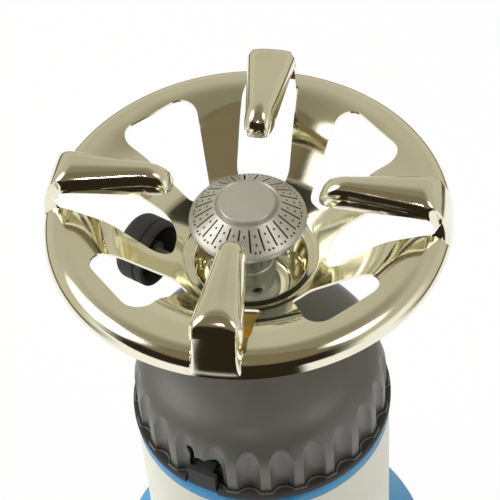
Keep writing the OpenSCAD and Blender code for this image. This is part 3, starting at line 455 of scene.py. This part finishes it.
def new_group(name, inputs, outputs):
    """An empty shader node group with named sockets."""
    tree = bpy.data.node_groups.new(name, "ShaderNodeTree")
    for label, kind, value in inputs:
        tree.interface.new_socket(label, in_out="INPUT", socket_type=kind).default_value = value
    for label, kind in outputs:
        tree.interface.new_socket(label, in_out="OUTPUT", socket_type=kind)
    return tree, tree.nodes.new("NodeGroupInput"), tree.nodes.new("NodeGroupOutput")


def noise(tree, scale, detail, roughness=0.55):
    """Noise on the piece's own coordinates."""
    where = tree.nodes.new("ShaderNodeTexCoord").outputs["Object"]
    made = add(tree, "ShaderNodeTexNoise", Vector=where, Scale=scale, Detail=detail, Roughness=roughness)
    return made.outputs["Fac"]


def between(tree, value, low, high):
    """Maps the middle stretch of a noise to a range."""
    made = add(tree, "ShaderNodeMapRange", Value=value, From_Min=NOISE_LOW, From_Max=NOISE_HIGH,
               To_Min=low, To_Max=high)
    return made.outputs["Result"]


def tone_group():
    """Shared effect: a colour that drifts between two tones."""
    tree, start, end = new_group(
        "tone_drift",
        [("Light", "NodeSocketColor", WHITE), ("Dark", "NodeSocketColor", (0, 0, 0, 1)),
         ("Scale", "NodeSocketFloat", 30.0)],
        [("Colour", "NodeSocketColor")])
    mask = between(tree, noise(tree, start.outputs["Scale"], detail=4.0), 0.0, 1.0)
    wire(tree, mixed(tree, mask, start.outputs["Dark"], start.outputs["Light"]), end.inputs["Colour"])
    return tree


def smudge_group():
    """Shared effect: roughness that varies as on a handled surface."""
    tree, start, end = new_group(
        "handling_smudges",
        [("Clean", "NodeSocketFloat", 0.1), ("Smudged", "NodeSocketFloat", 0.2),
         ("Scale", "NodeSocketFloat", SMUDGE_SCALE)],
        [("Roughness", "NodeSocketFloat")])
    value = noise(tree, start.outputs["Scale"], detail=5.0, roughness=0.65)
    value = between(tree, value, start.outputs["Clean"], start.outputs["Smudged"])
    wire(tree, value, end.inputs["Roughness"])
    return tree


def grain_group():
    """Shared effect: height of a fine grain over a slow wave."""
    tree, start, end = new_group(
        "grain_height",
        [("Grain", "NodeSocketFloat", 1500.0), ("Wave", "NodeSocketFloat", 30.0),
         ("Share", "NodeSocketFloat", 0.5)],
        [("Height", "NodeSocketFloat")])
    fine = noise(tree, start.outputs["Grain"], detail=2.0)
    slow = noise(tree, start.outputs["Wave"], detail=1.0)
    mix = add(tree, "ShaderNodeMix", Factor=start.outputs["Share"])
    wire(tree, slow, mix.inputs[2])
    wire(tree, fine, mix.inputs[3])
    wire(tree, mix.outputs[0], end.inputs["Height"])
    return tree


GROUP_MAKERS = {"tone_drift": tone_group, "handling_smudges": smudge_group, "grain_height": grain_group}


def effect(tree, name, **inputs):
    """Places a shared effect in a material."""
    made = tree.nodes.new("ShaderNodeGroup")
    made.node_tree = bpy.data.node_groups.get(name) or GROUP_MAKERS[name]()
    for key, value in inputs.items():
        made.inputs[key].default_value = value
    return made.outputs


def finish(name, tone, drift, rough, grain, metallic=0.0, tone_scale=30.0, shine=0.5):
    """A material of drifting tone, smudged roughness and grain.
    drift is the tone's (lightest, darkest) factor, rough is (clean, smudged), and grain is
    (fine scale, wave scale, share of the fine, depth)."""
    found = bpy.data.materials.get(name)
    if found:
        return found
    made = bpy.data.materials.new(name)
    made.use_nodes = True
    tree = made.node_tree
    surface = tree.nodes["Principled BSDF"]
    surface.inputs["Metallic"].default_value = metallic
    surface.inputs["Specular IOR Level"].default_value = shine
    light, dark = (opaque(min(1.0, c * factor) for c in tone) for factor in drift)
    tones = effect(tree, "tone_drift", Light=light, Dark=dark, Scale=tone_scale)
    wire(tree, tones["Colour"], surface.inputs["Base Color"])
    clean, smudged = rough
    smudges = effect(tree, "handling_smudges", Clean=clean, Smudged=smudged, Scale=SMUDGE_SCALE)
    wire(tree, smudges["Roughness"], surface.inputs["Roughness"])
    fine, wave, share, depth = grain
    relief = effect(tree, "grain_height", Grain=fine, Wave=wave, Share=share)
    bump = add(tree, "ShaderNodeBump", Height=relief["Height"], Distance=depth)
    wire(tree, bump.outputs["Normal"], surface.inputs["Normal"])
    return made


# Finishes of this stove
def nickel():
    return finish("champagne_nickel", finishes().nickel, (1.03, 0.94), metallic=1.0, rough=(0.07, 0.11),
                  grain=(900.0, 38.0, 0.02, 0.0004))


def burner_steel():
    return finish("satin_burner_steel", finishes().burner, (1.06, 0.9), metallic=0.7, rough=(0.3, 0.4),
                  grain=(2600.0, 200.0, 0.8, 0.00005))


# Painted shade: dark steel for the inside of the burner, so that its slots look black
def shade_darkened_steel():
    return finish("shade_darkened_steel", finishes().burner_inside_shade, (1.3, 0.7), rough=(0.6, 0.8),
                  grain=(2600.0, 200.0, 0.8, 0.00005))


def zinc():
    return finish("greenish_zinc", finishes().zinc, (1.1, 0.85), metallic=0.5, rough=(0.16, 0.3),
                  grain=(1800.0, 150.0, 0.5, 0.00006), tone_scale=90.0)


def brass():
    return finish("turned_brass", finishes().brass, (1.05, 0.85), metallic=0.7, rough=(0.16, 0.28),
                  grain=(2200.0, 120.0, 0.6, 0.00004), tone_scale=60.0)


def body_plastic():
    return finish("dark_grey_plastic", finishes().body, (1.06, 0.94), rough=(0.34, 0.4),
                  grain=(3200.0, 60.0, 0.85, 0.00003), shine=0.8)


def black_plastic():
    return finish("black_plastic", finishes().black, (1.2, 0.8), rough=(0.36, 0.46),
                  grain=(3000.0, 80.0, 0.85, 0.00004))


def blue_plastic():
    return finish("blue_plastic", finishes().blue, (1.04, 0.96), rough=(0.3, 0.4),
                  grain=(2800.0, 60.0, 0.8, 0.00004))


def blue_enamel():
    return finish("blue_enamel", finishes().blue, (1.04, 0.96), rough=(0.18, 0.26),
                  grain=(1500.0, 90.0, 0.3, 0.00004))


def label_film():
    return finish("pale_label_film", finishes().label, (1.02, 0.97), rough=(0.4, 0.5),
                  grain=(2000.0, 50.0, 0.5, 0.00003))


def pale_plastic():
    return finish("pale_plastic", finishes().pale, (1.02, 0.95), rough=(0.35, 0.45),
                  grain=(2500.0, 80.0, 0.7, 0.00003))


def seal_rubber():
    return finish("seal_rubber", finishes().rubber, (1.2, 0.8), rough=(0.6, 0.75),
                  grain=(1800.0, 90.0, 0.7, 0.00006))


# Pan support
RIM_STEPS = 48
FLARE_STEPS = 20
HUB_STEPS = 8
CORNER_STEPS = 6
PATH_STEP = 0.0018
SLOT_STEPS = 10
WINDOW_STEPS = 12


def crest_height(size):
    return size.finger_top - size.finger_rise


def crest_r(size):
    return size.rim_r - size.rim_round


def flare_end(size):
    """Radius and height at which the flare passes into the straight wall."""
    return Vector((crest_r(size) - size.flare_round * math.sin(size.wall_slope),
                   crest_height(size) - size.flare_round * (1 - math.cos(size.wall_slope))))


def bowl_path(size):
    """Outline of the bowl's upper side, from the rim's lower edge over its top to the bore."""
    crest = crest_height(size)
    start = flare_end(size)
    floor_z = crest - size.bowl_depth
    ring_z = floor_z + size.ring_h
    ring = Vector((start.x - (start.y - ring_z) / math.tan(size.wall_slope), ring_z))
    hub = Vector((size.hub_r, ring_z))
    floor_edge = Vector((size.floor_r, floor_z))
    bore = Vector((size.bore_r, floor_z))
    path = arc((crest_r(size), crest - size.rim_round), size.rim_round, size.rim_end, math.pi / 2, RIM_STEPS)
    path += arc((crest_r(size), crest - size.flare_round), size.flare_round,
                math.pi / 2, math.pi / 2 + size.wall_slope, FLARE_STEPS)[1:]
    path += fillet(start, ring, hub, size.ring_round, CORNER_STEPS)
    path += fillet(ring, hub, floor_edge, size.hub_round, HUB_STEPS)
    path += fillet(hub, floor_edge, bore, size.floor_round, CORNER_STEPS)
    path.append(bore)
    return spaced(path, PATH_STEP)


def bowl_height(size, radius):
    """Height of the plain bowl at a radius outside its hub."""
    start = flare_end(size)
    if radius < start.x:
        return start.y - (start.x - radius) * math.tan(size.wall_slope)
    across = radius - crest_r(size)
    turn = size.rim_round if across > 0 else size.flare_round
    return crest_height(size) - turn + math.sqrt(max(0.0, turn ** 2 - across ** 2))


def crown_height(size, along):
    """Height of a finger's crown at a distance from the axis: level, then a full quarter round onto the rim.
    Past the foot of that round it is 0, so nothing is raised there."""
    edge_r = crest_r(size) + size.rim_round * math.cos(size.bend_end)
    if along >= edge_r:
        return 0.0
    low_z = crest_height(size) - size.rim_round * (1 - math.sin(size.bend_end))
    share = max(0.0, (along - size.bend_r) / (edge_r - size.bend_r))
    return low_z + (size.finger_top - low_z) * (1 - share ** size.bend_full) ** (1 / size.bend_full)


def root_lift(size, radius, height, across):
    """How far the sheet is raised at the root of a finger."""
    share = 1 - smooth_share(abs(across), size.shoulder_in, size.shoulder_out)
    return max(0.0, crown_height(size, radius) - height) * share


def raise_roots(made, size):
    """Raises the rim where the fingers grow from it."""
    fade_r = size.root_r - size.blend
    form = bmesh.new()
    form.from_mesh(made.data)
    for k in range(size.finger_count):
        back = Matrix.Rotation(-size.finger_turn - math.tau * k / size.finger_count, 3, "Z")
        for vert in form.verts:
            here = back @ vert.co
            if here.x < fade_r or abs(here.y) > size.shoulder_out:
                continue
            radius = math.hypot(here.x, here.y)
            if radius > crest_r(size):
                turn = math.atan2(here.z - crest_height(size) + size.rim_round, radius - crest_r(size))
                radius = crest_r(size) + size.rim_round * math.cos(turn)
            lift = root_lift(size, radius, bowl_height(size, radius), here.y)
            vert.co.z += lift * smooth_share(here.x, fade_r, size.root_r)
    form.to_mesh(made.data)
    form.free()


def section_point(share, power):
    """Point of a finger's cross section, half a full ellipse, from -1 at one edge to 1 at the other."""
    turn = math.pi / 2 * abs(share) ** (power / 2)
    across = math.copysign(math.sin(turn) ** (2 / power), share)
    return across, max(0.0, math.cos(turn)) ** (2 / power)


def finger_form(size):
    """The free part of a finger: a tapered channel with a round nose, along +X."""
    rows, nose_rows, columns = 40, 16, 36
    form = bmesh.new()
    grid = bmesh.ops.create_grid(form, x_segments=rows + nose_rows, y_segments=columns, size=0.5)["verts"]
    for vert in grid:
        row = round((vert.co.x + 0.5) * (rows + nose_rows))
        along = size.root_r + (size.nose_r - size.root_r) * min(1.0, row / rows)
        full = smooth_share(along, size.bend_r, size.root_r)
        fullness = size.fullness + (size.root_fullness - size.fullness) * full
        side, up = section_point(2 * vert.co.y, fullness)
        half_w = size.nose_half_w + (along - size.nose_r) * size.taper
        drop = size.nose_drop * (1 - smooth_share(along, size.nose_r, size.bend_r))
        edge_z = size.finger_top - size.finger_depth - drop
        top = crown_height(size, along) - edge_z
        if row > rows:
            swing = math.pi / 2 * (row - rows) / nose_rows
            thin = max(0.0, math.cos(swing))
            across = half_w * side * thin ** size.nose_blunt
            vert.co = (along - size.nose_len * math.sin(swing), across, edge_z + top * up * thin)
            continue
        share = smooth_share(along, size.root_r - size.blend, size.root_r)
        across = side * (half_w + (size.root_half_w - half_w) * share)
        radius = math.hypot(along, across)
        plain_z = bowl_height(size, radius)
        root_z = plain_z + root_lift(size, radius, plain_z, across)
        free_z = edge_z + top * up
        vert.co = (along, across, free_z + (root_z - free_z) * share)
    weld(form)
    face_up(form)
    return form


def slot_outline(size):
    """Plan of the slot under a finger."""
    tip_w = 0.95 * size.slot_half_w
    tip_round = 0.75 * size.slot_half_w
    waist_round = 2 * size.slot_half_w
    side = [(size.root_r, size.root_half_w), (size.slot_wide_r, size.slot_half_w), (size.slot_tip_r, tip_w)]
    corners = [(along, -across) for along, across in side] + side[::-1]
    rounds = (waist_round, tip_round, tip_round, waist_round)
    points = [Vector(corners[0])]
    for i, radius in enumerate(rounds, 1):
        points += fillet(corners[i - 1], corners[i], corners[i + 1], radius, SLOT_STEPS)
    return points + [Vector(corners[-1])]


def window_outline(size):
    """Plan of a window between two fingers."""
    corners = [(size.window_in_r, -size.window_tip_w), (size.window_out_r, -size.window_half_w),
               (size.window_out_r, size.window_half_w), (size.window_in_r, size.window_tip_w)]
    tip_round = 0.85 * size.window_tip_w
    points = []
    for i, radius in enumerate((tip_round, size.window_round, size.window_round, tip_round)):
        points += fillet(corners[i - 1], corners[i], corners[(i + 1) % 4], radius, WINDOW_STEPS)
    return points


class STOVE_OT_pan_support(bpy.types.Operator):
    """Builds the plated bowl with its windows and raised fingers"""
    bl_idname = "stove.pan_support"
    bl_label = "Pan support"

    def execute(self, context):
        size = pan_sizes()
        step = math.tau / size.finger_count
        pitches = [(size.fine_turn, size.fine_steps), (step - size.fine_turn, size.plain_steps)]
        form = spun(bowl_path(size), pitches * size.finger_count, size.finger_turn - size.fine_turn / 2)
        face_up(form)
        made = thickened("pan_support_sheet", form, size.sheet)
        low = PAN_LOW.z - size.sheet
        high = size.finger_top + size.sheet
        windows = copies_round(upright(window_outline(size), low, high), size.finger_count,
                               size.finger_turn + step / 2)
        cut(made, windows)
        slots = copies_round(upright(slot_outline(size), low, high), size.finger_count, size.finger_turn)
        cut(made, slots)
        raise_roots(made, size)
        fingers = copies_round(finger_form(size), size.finger_count, size.finger_turn)
        absorb(made, thickened("fingers", fingers, size.sheet))
        smooth(made, degrees=40)
        place(made, nickel(), "nickel", "head", "pan_support")
        return {"FINISHED"}


class STOVE_OT_burner(bpy.types.Operator):
    """Dresses the slotted burner, its tube and its collar"""
    bl_idname = "stove.burner"
    bl_label = "Burner"

    def execute(self, context):
        dress(burner_steel(), "burner_cap", "cap_disc")
        # The burner's inside gets painted shade, dark steel that keeps its slots black
        dress(shade_darkened_steel(), "burner_base")
        dress(zinc(), "mixing_tube", "tube_collar", "hub_washer")
        return {"FINISHED"}


# Knob
KNOB_STEPS = 72
KNOB_EDGE_STEPS = 10
LIP_STEPS = 4


def knob_path(size):
    """Closed outline of the knob as radius and distance from the stove's axis."""
    start, end = size.knob_in, size.knob_in + size.knob_len
    rim, wall, edge = size.knob_r, size.knob_wall, size.knob_round
    groove = size.lip_groove
    lip = start + 2 * wall
    sink = end - size.knob_screw_t
    path = [(size.knob_bore_r, sink), (size.knob_screw_r, sink), (size.knob_screw_r, end)]
    path += [tuple(p) for p in arc((rim - edge, end - edge), edge, math.pi / 2, 0, KNOB_EDGE_STEPS)]
    path += [(rim, lip + 2 * groove), (rim - groove, lip + groove), (rim - groove, lip), (rim, lip - groove)]
    path += [tuple(p) for p in arc((rim - groove, start + groove), groove, 0, -math.pi / 2, LIP_STEPS)]
    path += [(rim - wall, start), (rim - wall, end - wall), (size.knob_hub_r, end - wall)]
    path += [(size.knob_hub_r, start + wall), (size.knob_bore_r, start + wall)]
    return path


class STOVE_OT_valve(bpy.types.Operator):
    """Builds the knob and dresses the brass valve, the tap and the gas inlet"""
    bl_idname = "stove.valve"
    bl_label = "Valve and tap"

    def execute(self, context):
        dress(brass(), "valve_body", "injector", "gland_nut", "body_nut", "inlet_probe", "gas_filter")
        dress(zinc(), "spindle", "knob_screw", "body_screws")
        dress(burner_steel(), "needle", "bayonet_plate")
        dress(seal_rubber(), "inlet_seal", "spindle_seal")
        axis = Vector(TAP["axis"]).normalized()
        form = turned(knob_path(trim_sizes()), Vector(TAP["pos_m"]), axis, KNOB_STEPS)
        knob = loose_object("tap_knob", form)
        smooth(knob, degrees=35)
        place(knob, black_plastic(), "black_plastic", "tap", "knob")
        return {"FINISHED"}


# Body
SKIRT_ROWS = 4
DOME_STEPS = 44
INSIDE_STEPS = 16
FLUTE_STEPS = 24
KEYHOLE_STEPS = 12


def skirt_outline(size, turn, out):
    """Radius of the fluted skirt at an angle, moved outwards."""
    pitch = math.tau / size.flute_count
    away = (turn - size.flute_turn + pitch / 2) % pitch - pitch / 2
    middle = size.skirt_r - size.flute_depth + size.flute_r
    across = middle * math.sin(away)
    hollow = size.flute_r - out
    if abs(across) >= hollow:
        return size.skirt_r + out
    return min(size.skirt_r + out, middle * math.cos(away) - math.sqrt(hollow ** 2 - across ** 2))


def dome_line(size, skirt_r, top_z, steps):
    """Outline of a full dome from the skirt to the hole in its top."""
    low_z = size.bead_z + size.skirt_h
    power = 2 / size.dome_full
    last = math.acos((size.dome_in_r / skirt_r) ** (1 / power))
    turns = [last * i / steps for i in range(steps + 1)]
    dome_h = top_z - low_z
    return [Vector((skirt_r * math.cos(a) ** power, low_z + dome_h * math.sin(a) ** power)) for a in turns]


def shell_form(size):
    """The body: a fluted skirt under a full dome, plain inside."""
    straight = [size.bead_z + size.skirt_h * i / SKIRT_ROWS for i in range(SKIRT_ROWS)]
    path = [Vector((size.skirt_r, z)) for z in straight]
    path += dome_line(size, size.skirt_r, SHROUD_HIGH.z, DOME_STEPS)
    in_r = size.skirt_r - size.body_wall
    path += dome_line(size, in_r, SHROUD_HIGH.z - size.dome_wall, INSIDE_STEPS)[::-1]
    path += [Vector((in_r, size.bead_z)), path[0]]
    form = spun(path, [(math.tau, FLUTE_STEPS * size.flute_count)])
    for vert in form.verts:
        turn = math.atan2(vert.co.y, vert.co.x)
        limit = min(math.hypot(vert.co.x, vert.co.y), skirt_outline(size, turn, 0.0))
        vert.co = (limit * math.cos(turn), limit * math.sin(turn), vert.co.z)
    bmesh.ops.recalc_face_normals(form, faces=form.faces)
    return form


def lock_opening(size):
    """Cutter for the lock's opening: a recess over the tab with a keyhole at its left.
    The outline's points are across the tab and above the flange."""
    left = [(-0.0072, -0.001), (-0.0072, 0.0070), (-0.0068, 0.0095), (-0.0068, 0.0115)]
    middle, round_r = (-0.0056, 0.0156), 0.0023
    keyhole = arc(middle, round_r, math.radians(215), math.radians(-20), KEYHOLE_STEPS)
    top = [(-0.0026, 0.0152), (-0.0012, 0.0160), (0.0004, 0.0160), (0.0020, 0.0151), (0.0036, 0.0150),
           (0.0052, 0.0153), (0.0066, 0.0151)]
    right = [(0.0078, 0.0128), (0.0084, 0.0090), (0.0087, 0.0020), (0.0087, -0.001)]
    outline = left + keyhole + top + right
    near = size.skirt_r - 2 * size.flute_r
    corners = [(near, across, size.bead_z + above) for across, above in outline]
    return copies_round(prism(corners, (3 * size.flute_r, 0, 0)), 1, size.lock_turn)


def bead_form(size):
    """A thin round line on the flange that follows the flutes, open at the lock."""
    steps, sides = 700, 8
    form = bmesh.new()
    grid = bmesh.ops.create_grid(form, x_segments=steps, y_segments=sides, size=0.5)["verts"]
    for vert in grid:
        turn = size.lock_turn + size.lock_half + (vert.co.x + 0.5) * (math.tau - 2 * size.lock_half)
        swing = math.pi * (vert.co.y + 0.5)
        radius = skirt_outline(size, turn, size.bead_out) + size.bead_r * math.cos(swing)
        height = size.bead_z + size.bead_r * math.sin(swing)
        vert.co = (radius * math.cos(turn), radius * math.sin(turn), height)
    bmesh.ops.recalc_face_normals(form, faces=form.faces)
    face_up(form)
    return form


class STOVE_OT_body(bpy.types.Operator):
    """Builds the fluted body and its wavy line and dresses the base ring and the lock tab"""
    bl_idname = "stove.body"
    bl_label = "Body"

    def execute(self, context):
        dress(black_plastic(), "base_ring", "lock_slide")
        shell = loose_object("body_shell", shell_form(trim_sizes()))
        cut(shell, lock_opening(trim_sizes()))
        smooth(shell, degrees=30)
        place(shell, body_plastic(), "body_plastic", "head", "shroud")
        bead = loose_object("body_bead", bead_form(trim_sizes()))
        smooth(bead, degrees=60)
        place(bead, body_plastic(), "body_plastic", "head")
        return {"FINISHED"}


class STOVE_OT_cartridge(bpy.types.Operator):
    """Dresses the cartridge, its valve and the foot"""
    bl_idname = "stove.cartridge"
    bl_label = "Cartridge and foot"

    def execute(self, context):
        dress(blue_enamel(), "cartridge_can")
        dress(label_film(), "cartridge_label")
        dress(burner_steel(), "valve_cup", "stem_spring")
        dress(pale_plastic(), "valve_housing", "valve_stem")
        dress(seal_rubber(), "stem_gasket")
        dress(blue_plastic(), "stabiliser_foot")
        return {"FINISHED"}


# Stage
# Lamps: name, turn and height angle in degrees, width and height, power, whether the metal mirrors it
LAMPS = (("left_window", 172, 40, (0.87, 0.87), 10.0, False),
         ("right_window", -27, 51, (0.58, 0.46), 3.6, False),
         ("camera_lamp", -108, 46, (0.10, 0.07), 0.5, True))
# Windows that the metal mirrors: turn, height angle, half width and softness in degrees
MIRRORED_WINDOWS = ((176, 40, 18, 5), (-27, 52, 11, 4))
# Upward part of a direction over which one light passes into the next
CEILING_FROM = (0.22, 0.42)
ZENITH_FROM = (0.72, 0.97)
GLOOM_FROM = (0.06, 0.14)
ROOM_FROM = (0.56, 0.68)
PATCH_BELOW = (0.60, 0.50)
# Distances over which the floor that the metal mirrors changes
PATCH_FLOOR = (0.26, 0.34)
DUSK_FLOOR = (0.55, 0.75)
WALL_FLOOR = (0.9, 1.3)
# Roughness of the floor and the share of the stove's shadow that it keeps
FLOOR_ROUGHNESS = 0.9
SHADOW_SHARE = 0.03
# Direction and half angles of what lies behind the stove, and how soft edges are
BACK_TURN = math.radians(90)
WALL_HALF = math.radians(95)
DUSK_HALF = math.radians(105)
PLAIN_SOFT = math.radians(12)
PATCH_SOFT = math.radians(3)


def direction_of(turn, rise_by):
    """A direction given by its turn about the axis and its height angle, in degrees."""
    turn, rise_by = math.radians(turn), math.radians(rise_by)
    level = math.cos(rise_by)
    return Vector((level * math.cos(turn), level * math.sin(turn), math.sin(rise_by)))


def add_camera(stage):
    """A camera at the photograph's viewing angle."""
    right = Vector((1, 0, 0))
    forward = Vector((0, math.cos(stage.elevation), -math.sin(stage.elevation)))
    turn = Matrix.Rotation(stage.roll, 3, "Z") @ Matrix.Rotation(stage.tilt, 3, "X")
    turn = turn @ Matrix.Rotation(stage.pan, 3, "Y")
    rows = turn @ Matrix((right, right.cross(forward), forward))
    axes = Matrix((rows[0], rows[1], -rows[2])).transposed().to_4x4()
    target = Vector((0, 0, stage.aim_z))
    data = bpy.data.cameras.new("camera")
    data.sensor_width = SENSOR_WIDTH
    data.lens = stage.focal_pixels * SENSOR_WIDTH / PHOTO_PIXELS
    data.clip_start = 0.01
    data.clip_end = 50
    camera = bpy.data.objects.new("camera", data)
    bpy.context.scene.collection.objects.link(camera)
    camera.matrix_world = Matrix.Translation(target - forward * stage.distance) @ axes
    bpy.context.scene.camera = camera


def add_lamp(stage, name, turn, rise_by, size, power, mirrored):
    """A soft lamp that faces the stove from a direction."""
    data = bpy.data.lights.new(name, "AREA")
    data.shape = "RECTANGLE"
    data.size, data.size_y = size
    data.energy = power
    lamp = bpy.data.objects.new(name, data)
    bpy.context.scene.collection.objects.link(lamp)
    away = direction_of(turn, rise_by)
    lamp.location = Vector((0, 0, stage.aim_z)) + away * stage.lamp_distance
    lamp.visible_glossy = mirrored
    lamp.rotation_euler = (-away).to_track_quat("-Z", "Y").to_euler()


def rise(tree, value, ends):
    """Goes smoothly from 0 to 1 as a value passes from the first end to the second."""
    made = add(tree, "ShaderNodeMapRange", Value=value, From_Min=ends[0], From_Max=ends[1])
    made.interpolation_type = "SMOOTHSTEP"
    return made.outputs["Result"]


def near_direction(tree, direction, middle, half, soft):
    """1 for directions within half an angle of a middle one, with a soft edge."""
    along = maths(tree, "ShaderNodeVectorMath", "DOT_PRODUCT", direction, middle)["Value"]
    return rise(tree, along, (math.cos(half + soft), math.cos(half - soft)))


def toward(tree, direction, turn, half, soft=PLAIN_SOFT):
    """1 for directions within half an angle of a turn about the axis, whatever their height."""
    flat = maths(tree, "ShaderNodeVectorMath", "MULTIPLY", direction, (1, 1, 0))["Vector"]
    level = maths(tree, "ShaderNodeVectorMath", "NORMALIZE", flat)["Vector"]
    return near_direction(tree, level, (math.cos(turn), math.sin(turn), 0), half, soft)


def light_world(stage):
    """White to the camera; a bright horizon, a dimmer ceiling and a dark room in front for the rest."""
    world = bpy.data.worlds.new("studio")
    bpy.context.scene.world = world
    world.use_nodes = True
    tree = world.node_tree
    direction = tree.nodes.new("ShaderNodeTexCoord").outputs["Generated"]
    height = add(tree, "ShaderNodeSeparateXYZ", Vector=direction).outputs["Z"]
    behind = toward(tree, direction, BACK_TURN, WALL_HALF)
    front = toward(tree, direction, stage.room_turn, stage.room_half)
    patch = toward(tree, direction, stage.patch_turn, stage.patch_half, PATCH_SOFT)
    sky = mixed(tree, behind, opaque(stage.horizon), opaque(stage.wall))
    sky = mixed(tree, rise(tree, height, CEILING_FROM), sky, opaque(stage.ceiling))
    sky = mixed(tree, rise(tree, height, ZENITH_FROM), sky, opaque(stage.zenith))
    sky = mixed(tree, times(tree, front, rise(tree, height, GLOOM_FROM)), sky, opaque(stage.gloom))
    sky = mixed(tree, times(tree, front, rise(tree, height, ROOM_FROM)), sky, opaque(stage.room))
    window = opaque(c * stage.window_power for c in stage.window)
    for turn, rise_by, half, soft in MIRRORED_WINDOWS:
        lobe = near_direction(tree, direction, direction_of(turn, rise_by),
                              math.radians(half), math.radians(soft))
        sky = mixed(tree, lobe, sky, window)
    sky = mixed(tree, times(tree, patch, rise(tree, height, PATCH_BELOW)), sky, opaque(stage.gloom))
    seen = tree.nodes.new("ShaderNodeLightPath").outputs["Is Camera Ray"]
    wire(tree, mixed(tree, seen, sky, WHITE), tree.nodes["Background"].inputs["Color"])


def mirrored_floor(tree, stage):
    """Colour of the floor as the metal mirrors it: white, with a dark patch in front and the wall behind."""
    where = tree.nodes.new("ShaderNodeTexCoord").outputs["Object"]
    far = maths(tree, "ShaderNodeVectorMath", "LENGTH", where)["Value"]
    behind = toward(tree, where, BACK_TURN, DUSK_HALF)
    patch = toward(tree, where, stage.patch_turn, stage.patch_half, PATCH_SOFT)
    tone = mixed(tree, times(tree, behind, rise(tree, far, DUSK_FLOOR)), WHITE, opaque(stage.dusk))
    tone = mixed(tree, times(tree, behind, rise(tree, far, WALL_FLOOR)), tone, opaque(stage.wall))
    return mixed(tree, times(tree, patch, rise(tree, far, PATCH_FLOOR)), tone, opaque(stage.gloom))


def floor_material(stage):
    """A pale floor that looks white to the camera and keeps a little of the stove's shadow."""
    made = bpy.data.materials.new("pale_floor")
    made.use_nodes = True
    tree = made.node_tree
    surface = tree.nodes["Principled BSDF"]
    surface.inputs["Base Color"].default_value = opaque(stage.floor)
    surface.inputs["Roughness"].default_value = FLOOR_ROUGHNESS
    rays = tree.nodes.new("ShaderNodeLightPath").outputs
    direct = rays["Is Camera Ray"]
    seen = maths(tree, "ShaderNodeMath", "MAXIMUM", direct, rays["Is Glossy Ray"])["Value"]
    share = maths(tree, "ShaderNodeMath", "SUBTRACT", seen, times(tree, direct, SHADOW_SHARE))["Value"]
    glow = add(tree, "ShaderNodeEmission", Color=mixed(tree, direct, mirrored_floor(tree, stage), WHITE))
    mix = add(tree, "ShaderNodeMixShader", Fac=share)
    wire(tree, surface.outputs[0], mix.inputs[1])
    wire(tree, glow.outputs[0], mix.inputs[2])
    wire(tree, mix.outputs[0], tree.nodes["Material Output"].inputs["Surface"])
    return made


def add_plane(name, corners, material):
    """A flat card with given corners."""
    form = bmesh.new()
    form.faces.new([form.verts.new(c) for c in corners])
    made = loose_object(name, form)
    made.data.materials.append(material)


class STOVE_OT_stage(bpy.types.Operator):
    """Sets up the floor, the light and the camera"""
    bl_idname = "stove.stage"
    bl_label = "Stage"

    def execute(self, context):
        stage = context.scene.stove_stage
        context.scene.view_settings.view_transform = "Standard"
        half = stage.floor_half
        add_plane("floor", [(-half, -half, 0), (half, -half, 0), (half, half, 0), (-half, half, 0)],
                  floor_material(stage))
        for lamp in LAMPS:
            add_lamp(stage, *lamp)
        light_world(stage)
        add_camera(stage)
        return {"FINISHED"}


class STOVE_PT_panel(bpy.types.Panel):
    """Lists the stove's pieces in the sidebar"""
    bl_idname = "STOVE_PT_panel"
    bl_label = "Camping gas stove"
    bl_space_type = "VIEW_3D"
    bl_region_type = "UI"
    bl_category = "Stove"

    def draw(self, context):
        for step in STEPS:
            self.layout.operator(step.bl_idname)


STEPS = (STOVE_OT_pan_support, STOVE_OT_burner, STOVE_OT_valve, STOVE_OT_body, STOVE_OT_cartridge,
         STOVE_OT_stage)
SETTINGS = (("stove_pan", StovePanSizes), ("stove_trim", StoveTrimSizes),
            ("stove_finishes", StoveFinishes), ("stove_stage", StoveStage))


def register():
    for name, group in SETTINGS:
        bpy.utils.register_class(group)
        setattr(bpy.types.Scene, name, bpy.props.PointerProperty(type=group))
    for step in STEPS + (STOVE_PT_panel,):
        bpy.utils.register_class(step)


def unregister():
    for step in (STOVE_PT_panel,) + STEPS[::-1]:
        bpy.utils.unregister_class(step)
    for name, group in SETTINGS[::-1]:
        delattr(bpy.types.Scene, name)
        bpy.utils.unregister_class(group)


def main():
    register()
    bpy.ops.stove.pan_support()
    bpy.ops.stove.burner()
    bpy.ops.stove.valve()
    bpy.ops.stove.body()
    bpy.ops.stove.cartridge()
    bpy.ops.stove.stage()


if __name__ == "__main__":
    main()
